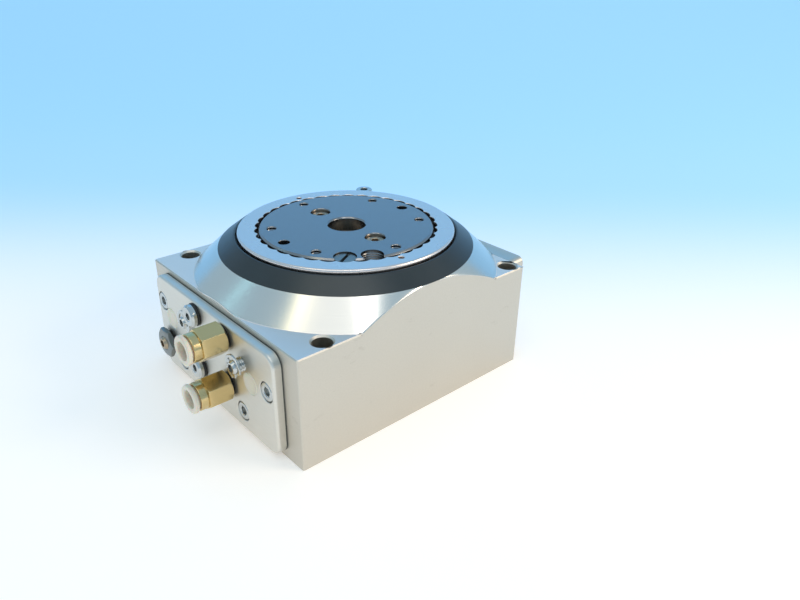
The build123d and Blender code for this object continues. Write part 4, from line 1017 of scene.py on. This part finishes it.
plug = turned(
    "plug",
    [
        (0, 0.4),
        (2.5, 0.4),
        (2.5, 4.3),
        (3.7, 4.3),
        (3.95, 4.55),
        (3.95, 5.6),
        (3.3, 6.3),
        (1.9, 6.3),
        (1.6, 6.1),
        (0, 6.1),
    ],
    64,
)
carve(plug, hexagon("key", 2.5, 4.7, 7, math.radians(10)))
place(plug, (PORT_FACE, 0, 0), PORT)
plugs = copies(plug, [(0, y, z) for y, z in PORTS[2:]], "blanking_plugs")
ready(plugs, "base", zinc_finish, ["port_plugs"])

for name, node, spots in (
    ("plug_seal_rings", "port_plug_seals", PORTS[2:]),
    ("fitting_seal_rings", "fitting_seals", PORTS[:2]),
    ("nut_seal_ring", "stop_nut_seal", [STOP_SPOT]),
):
    seal = turned("seal", seal_outline(SEAL_INNER, SEAL_OUTER, SEAL_LOW, SEAL_HIGH), 64)
    place(seal, (PORT_FACE, 0, 0), PORT)
    seals = copies(seal, [(0, y, z) for y, z in spots], name)
    ready(seals, "base", rubber_finish, [node], 60)

# %% [markdown]
# A push-in fitting starts as hexagon bar. The lathe turns its front to a barrel and
# chamfers the six corners at the back, so that each flat ends in a curve. The curve
# isn't drawn: it appears where the bar and a turned solid are kept in common.

# %% The brass fittings
HEX_ACROSS = 10.0
HEX_POINTS = 5.85
HEX_LOW, HEX_HIGH, BARREL_HIGH = 4.3, 12.9, 15.7
HEX_TURNS = (40.0, 34.0)
AIR_WAY, TUBE_SEAT, RELEASE_ROOM = (1.25, 6.7), (3.05, 9.3), (3.95, 16.5)
fittings = []
for (y, z), hex_turn in zip(PORTS[:2], HEX_TURNS):
    body = hexagon("fitting", HEX_ACROSS, HEX_LOW - 1, HEX_HIGH + 1, math.radians(hex_turn))
    lathe_form = turned(
        "lathe_form",
        [
            (0, HEX_LOW),
            (HEX_POINTS - 0.95, HEX_LOW),
            (HEX_POINTS, HEX_LOW + 0.85),
            (HEX_POINTS, HEX_HIGH - 0.35),
            (HEX_POINTS - 0.45, HEX_HIGH),
            (0, HEX_HIGH),
        ],
        96,
    )
    carve(body, lathe_form, "INTERSECT")
    barrel = turned(
        "barrel",
        [
            (0, 0.4),
            (2.3, 0.4),
            (2.5, 0.6),
            (2.5, 5),
            (3, 5),
            (3, 12),
            (4.6, 12),
            (4.6, 13.05),
            (4.8, 13.2),
            (4.8, BARREL_HIGH - 0.2),
            (4.6, BARREL_HIGH),
            (0, BARREL_HIGH),
        ],
        96,
    )
    carve(body, barrel, "UNION")
    socket_form = drill_outline(-1, AIR_WAY, TUBE_SEAT, RELEASE_ROOM)
    carve(body, turned("socket", socket_form, 64))
    soften(body, 0.1, 25)
    fittings.append(place(body, (PORT_FACE, y, z), PORT))
ready(joined(fittings, "push_in_fittings"), "base", brass_finish, ["fitting_bodies"])

# %% [markdown]
# The ivory ring in front is what a finger pushes to let the tube go. Its outer rim is
# rounded, and the tube hole widens at the mouth.

# %% The release rings
RELEASE_DEEP, RELEASE_BACK, RELEASE_FRONT = 12.0, 16.4, 17.8
TUBE_RADIUS = 3.05
for (y, z), name, body_name, node in (
    (PORTS[0], "upper_ivory_ring", "upper_release", "upper_release_ring"),
    (PORTS[1], "lower_ivory_ring", "lower_release", "lower_release_ring"),
):
    rim = [
        (4.5 + 0.5 * math.sin(t), RELEASE_FRONT - 0.5 + 0.5 * math.cos(t))
        for t in [math.pi / 2 * (1 - step / 6) for step in range(7)]
    ]
    release = turned(
        name,
        [
            (TUBE_RADIUS, RELEASE_DEEP),
            (3.7, RELEASE_DEEP),
            (3.7, RELEASE_BACK),
            (4.8, RELEASE_BACK),
            (5.0, RELEASE_BACK + 0.2),
            *rim,
            (3.6, RELEASE_FRONT),
            (3.25, RELEASE_FRONT - 0.15),
            (TUBE_RADIUS, RELEASE_FRONT - 0.6),
            (TUBE_RADIUS, RELEASE_DEEP),
        ],
        96,
    )
    place(release, (PORT_FACE, y, z), PORT)
    ready(release, body_name, ivory_finish, [node])

# %% [markdown]
# The two flow screws and the stop screw stand out far enough to show their thread. At
# this size a helix leans by three degrees, which no eye can see, so the ridges are
# turned as rings, with the same helper that made the tapped holes.


# %% Threaded studs
STUD_SOCKET = 2.5


def threaded_stud(name, crest, core, pitch, low, high, depth, turn=0):
    """A stud with thread ridges, chamfered ends and a six-sided socket of that depth."""
    stud = turned(
        name,
        [(0, low), (core - 0.2, low)]
        + threaded_side(core, crest, pitch, low + 0.2, high - 0.35)
        + [(core - 0.15, high), (0, high)],
        48,
    )
    key_bar = hexagon("key", STUD_SOCKET, high - depth, high + 1, math.radians(turn))
    return carve(stud, key_bar)


for (y, z), front, side_name, socket_turn in (
    (FLOW_SPOTS[0], 7.3, "right", 10),
    (FLOW_SPOTS[1], 5.3, "left", 25),
):
    flow = f"{side_name}_flow"
    stud = threaded_stud(f"{flow}_stud", 2.45, 2.0, 0.75, 0.5, front, 1.5, socket_turn)
    place(stud, (PORT_FACE, y, z), PORT)
    ready(stud, flow, zinc_finish, [f"{flow}_screw"], 25)

stop = threaded_stud("stop_stud", 2.5, 2.05, 0.8, -8.0, 7.2, 2.0)
place(stop, (PORT_FACE, *STOP_SPOT), PORT)
ready(stop, "base", bronze_finish, ["stop_screw"], 25)

# %% [markdown]
# The lock nut is hexagon bar again, chamfered on both faces and bored.

# %% The lock nut
NUT_ACROSS = 10.0
nut = hexagon("lock_nut", NUT_ACROSS, 3.0, 9.0)
nut_form = turned(
    "nut_form", [(0, 4.3), (4.8, 4.3), (5.9, 4.8), (5.9, 5.7), (4.7, 6.3), (0, 6.3)], 100
)
carve(nut, nut_form, "INTERSECT")
nut_bore = turned(
    "nut_bore", [(0, 4), (2.7, 4), (2.55, 4.5), (2.55, 6.1), (2.75, 6.5), (0, 6.5)], 48
)
carve(nut, nut_bore)
place(nut, (PORT_FACE, *STOP_SPOT), PORT)
ready(nut, "base", black_steel_finish, ["stop_nut"])

# %% [markdown]
# A spring clip near each flow screw's tip keeps it from being wound out. It is a ring
# with a mouth and three inner prongs.

# %% The spring clips
CLIP_INNER, CLIP_OUTER = 3.3, 4.4
CLIP_THICK, CLIP_BEHIND = 0.6, 1.3
for (y, z), front, side_name, clip_turn in (
    (FLOW_SPOTS[0], 7.3, "right", 215),
    (FLOW_SPOTS[1], 5.3, "left", 160),
):
    low = front - CLIP_BEHIND
    mouth = math.radians(clip_turn - 90)
    band = turned(
        f"{side_name}_spring_clip",
        ring_section(CLIP_INNER, CLIP_OUTER, low, low + CLIP_THICK),
        48,
        math.radians(270),
        mouth + math.radians(45),
    )
    for prong_turn in (60, 180, 300):
        prong = slab("prong", (2.05, -0.8, low), (3.6, 0.8, low + CLIP_THICK))
        place(prong, (0, 0, 0), (0, 0, mouth + math.radians(prong_turn)))
        carve(band, prong, "UNION")
    soften(band, 0.06, 40)
    place(band, (PORT_FACE, y, z), PORT)
    ready(band, f"{side_name}_flow", zinc_finish, [f"{side_name}_flow_clip"])

# %% [markdown]
# The end cover closes the cylinders at the far side. It is built as the port plate is,
# with smaller rounds, and its four screws sit in counterbores.

# %% The end cover
END_BACK, END_FACE = 46.4, 53.5
END_HALF = 40
END_LOW, END_HIGH = 1.5, 39.6
END_CORNER, END_ROUND = 2.5, 0.6
END_SEAT = 3.1
END_SCREWS = [(side * 33.0, height) for side in (-1, 1) for height in (7.5, 31.5)]
end_cover = slab("end_face_cover", (END_BACK, -END_HALF, END_LOW), (END_FACE, END_HALF, END_HIGH))
bevel_edges(end_cover, lambda a, b: abs(a.x - b.x) > 1, END_CORNER, 10)
bevel_edges(end_cover, lambda a, b: min(a.x, b.x) > END_FACE - 0.01, END_ROUND, 3)
end_form = drill_outline(-1, (2.0, END_SEAT), (3.8, END_FACE - REAR_FACE), chamfer=0.2)
end_tool = place(turned("end_tool", end_form, 48), (REAR_FACE, 0, 0), REAR)
carve(end_cover, copies(end_tool, [(0, y, z) for y, z in END_SCREWS], "end_tools"))
soften(end_cover, 0.06, 50)
ready(end_cover, "base", block_finish, ["end_cover"])

end_screw = socket_screw("end_screw", 3.5, 4.0, 3.0, 2.0, 12.0)
place(end_screw, (REAR_FACE + END_SEAT, 0, 0), REAR)
end_screws = copies(end_screw, [(0, y, z) for y, z in END_SCREWS], "end_face_screws")
ready(end_screws, "base", zinc_finish, ["end_cover_screws"])

# %% [markdown]
# One corner hole holds a shoulder screw that stands above the flat.

# %% The corner screw
corner = turned(
    "standing_corner_screw",
    [
        (0, 32),
        (2.9, 32),
        (3.25, 32.35),
        (3.25, 43.8),
        (3.4, 43.8),
        (3.5, 43.9),
        (3.5, 47.5),
        (3.2, 47.8),
        (1.95, 47.8),
        (1.75, 47.6),
        (0, 47.6),
    ],
    64,
)
carve(corner, hexagon("key", 3.0, 45.8, 49))
place(corner, (*CORNER, 0))
ready(corner, "base", zinc_finish, ["corner_screw"])

# %% [markdown]
# The studio is a pale sweep: a floor that curves up into a backdrop with no line between
# them, white below and pale blue above, as in the photograph. It isn't part of the
# object.

# %% Floor and backdrop
FLOOR_SIZE, WALL_HEIGHT = 4.0, 3.0
SWEEP_CURVE = 1500
only(None)
bpy.ops.mesh.primitive_plane_add(size=FLOOR_SIZE, location=(0, 0, 0))
sweep = bpy.context.object
sweep.name = "studio_sweep"
place(sweep, (0, 0, 0), (0, 0, -VIEW_TURN))
back = ahead.to_2d().normalized()


def far_edge(a, b):
    """True for an edge more than a metre behind the object."""
    return ((a + b) / 2).xy.dot(back) > 1000


pick_edges(sweep, far_edge)
bpy.ops.mesh.extrude_edges_move(TRANSFORM_OT_translate={"value": (0, 0, WALL_HEIGHT)})
bpy.ops.object.mode_set(mode="OBJECT")
bevel_edges(
    sweep,
    lambda a, b: far_edge(a, b) and max(abs(a.z), abs(b.z)) < 1,
    SWEEP_CURVE,
    24,
)
bpy.ops.object.shade_smooth()
sweep_finish = Finish("studio_paper", Roughness=0.9, Emission_Strength=0.34)
sweep_point = sweep_finish.node("ShaderNodeTexCoord", output="Object")
lengthwise = sweep_finish.node(
    "ShaderNodeVectorMath",
    {"operation": "DOT_PRODUCT"},
    {0: sweep_point, 1: (back.x, back.y, 1.0)},
    output="Value",
)
near_share = sweep_finish.node(
    "ShaderNodeMapRange",
    {"interpolation_type": "SMOOTHSTEP"},
    {"Value": lengthwise, "From Min": -0.02, "From Max": 0.23},
)
far_share = sweep_finish.node(
    "ShaderNodeMapRange",
    {"interpolation_type": "SMOOTHSTEP"},
    {"Value": lengthwise, "From Min": 0.0, "From Max": 0.42},
)
paper = sweep_finish.blend(near_share, colour(0.97, 0.91, 0.85), colour(0.44, 0.68, 0.92))
paper = sweep_finish.blend(far_share, paper, colour(0.38, 0.66, 0.92))
sweep_finish.feed("Base Color", paper)
sweep_finish.feed("Emission Color", paper)
sweep.data.materials.append(sweep_finish.material)

# %% [markdown]
# Bright metal shows its surroundings more than its own colour, so the lights matter as
# much as the finishes. The air all round is pale blue, which the flats, the disc and the
# top of the brass mirror. One large warm lamp over the camera lights the whole scene,
# and a smaller one beside it warms the near side. Three narrow lamps light nothing and
# are seen only as reflections. They hang where the cone sends its glance to the lens,
# and stand in it as the two bright bands and the blue glint of the photograph.


# %% Lights
TABLE_HEART = (0, 0, 0.04)
AIR_COLOUR = (0.50, 0.71, 0.88, 1.0)
AIR_STRENGTH = 0.80


def soft_box(name, spot, size, power, tint):
    """A rectangular area light aimed at the table."""
    only(None)
    bpy.ops.object.light_add(type="AREA", location=spot)
    light = bpy.context.object
    light.name = name
    light.data.shape = "RECTANGLE"
    light.data.size, light.data.size_y = size
    light.data.energy = power
    light.data.color = tint
    aim = Vector(TABLE_HEART) - Vector(spot)
    light.rotation_euler = aim.to_track_quat("-Z", "Y").to_euler()
    return light


soft_box("ceiling", (-0.40, -0.30, 1.40), (1.1, 1.1), 2.9, (1.0, 0.88, 0.76))
soft_box("side_lamp", (0.7, -0.9, 0.6), (0.5, 0.5), 6.0, (1.0, 0.80, 0.58))
band_lamps = [
    soft_box("left_band", (-0.56, 0.03, 0.90), (0.07, 0.4), 0.24, (1.0, 0.88, 0.52)),
    soft_box("right_band", (-0.09, -0.46, 0.95), (0.14, 0.3), 0.34, (1.0, 0.97, 0.92)),
    soft_box("blue_glint", (-0.54, 0.66, 0.60), (0.02, 0.4), 0.07, (0.35, 0.85, 1.0)),
]
for lamp in band_lamps:
    lamp.visible_diffuse = False
print(len(band_lamps), "lamps are seen only as reflections")

world = bpy.data.worlds.new("studio_air")
bpy.context.scene.world = world
world.use_nodes = True
air = world.node_tree.nodes["Background"]
air.inputs["Color"].default_value = AIR_COLOUR
air.inputs["Strength"].default_value = AIR_STRENGTH
bpy.context.scene.view_settings.view_transform = "Standard"
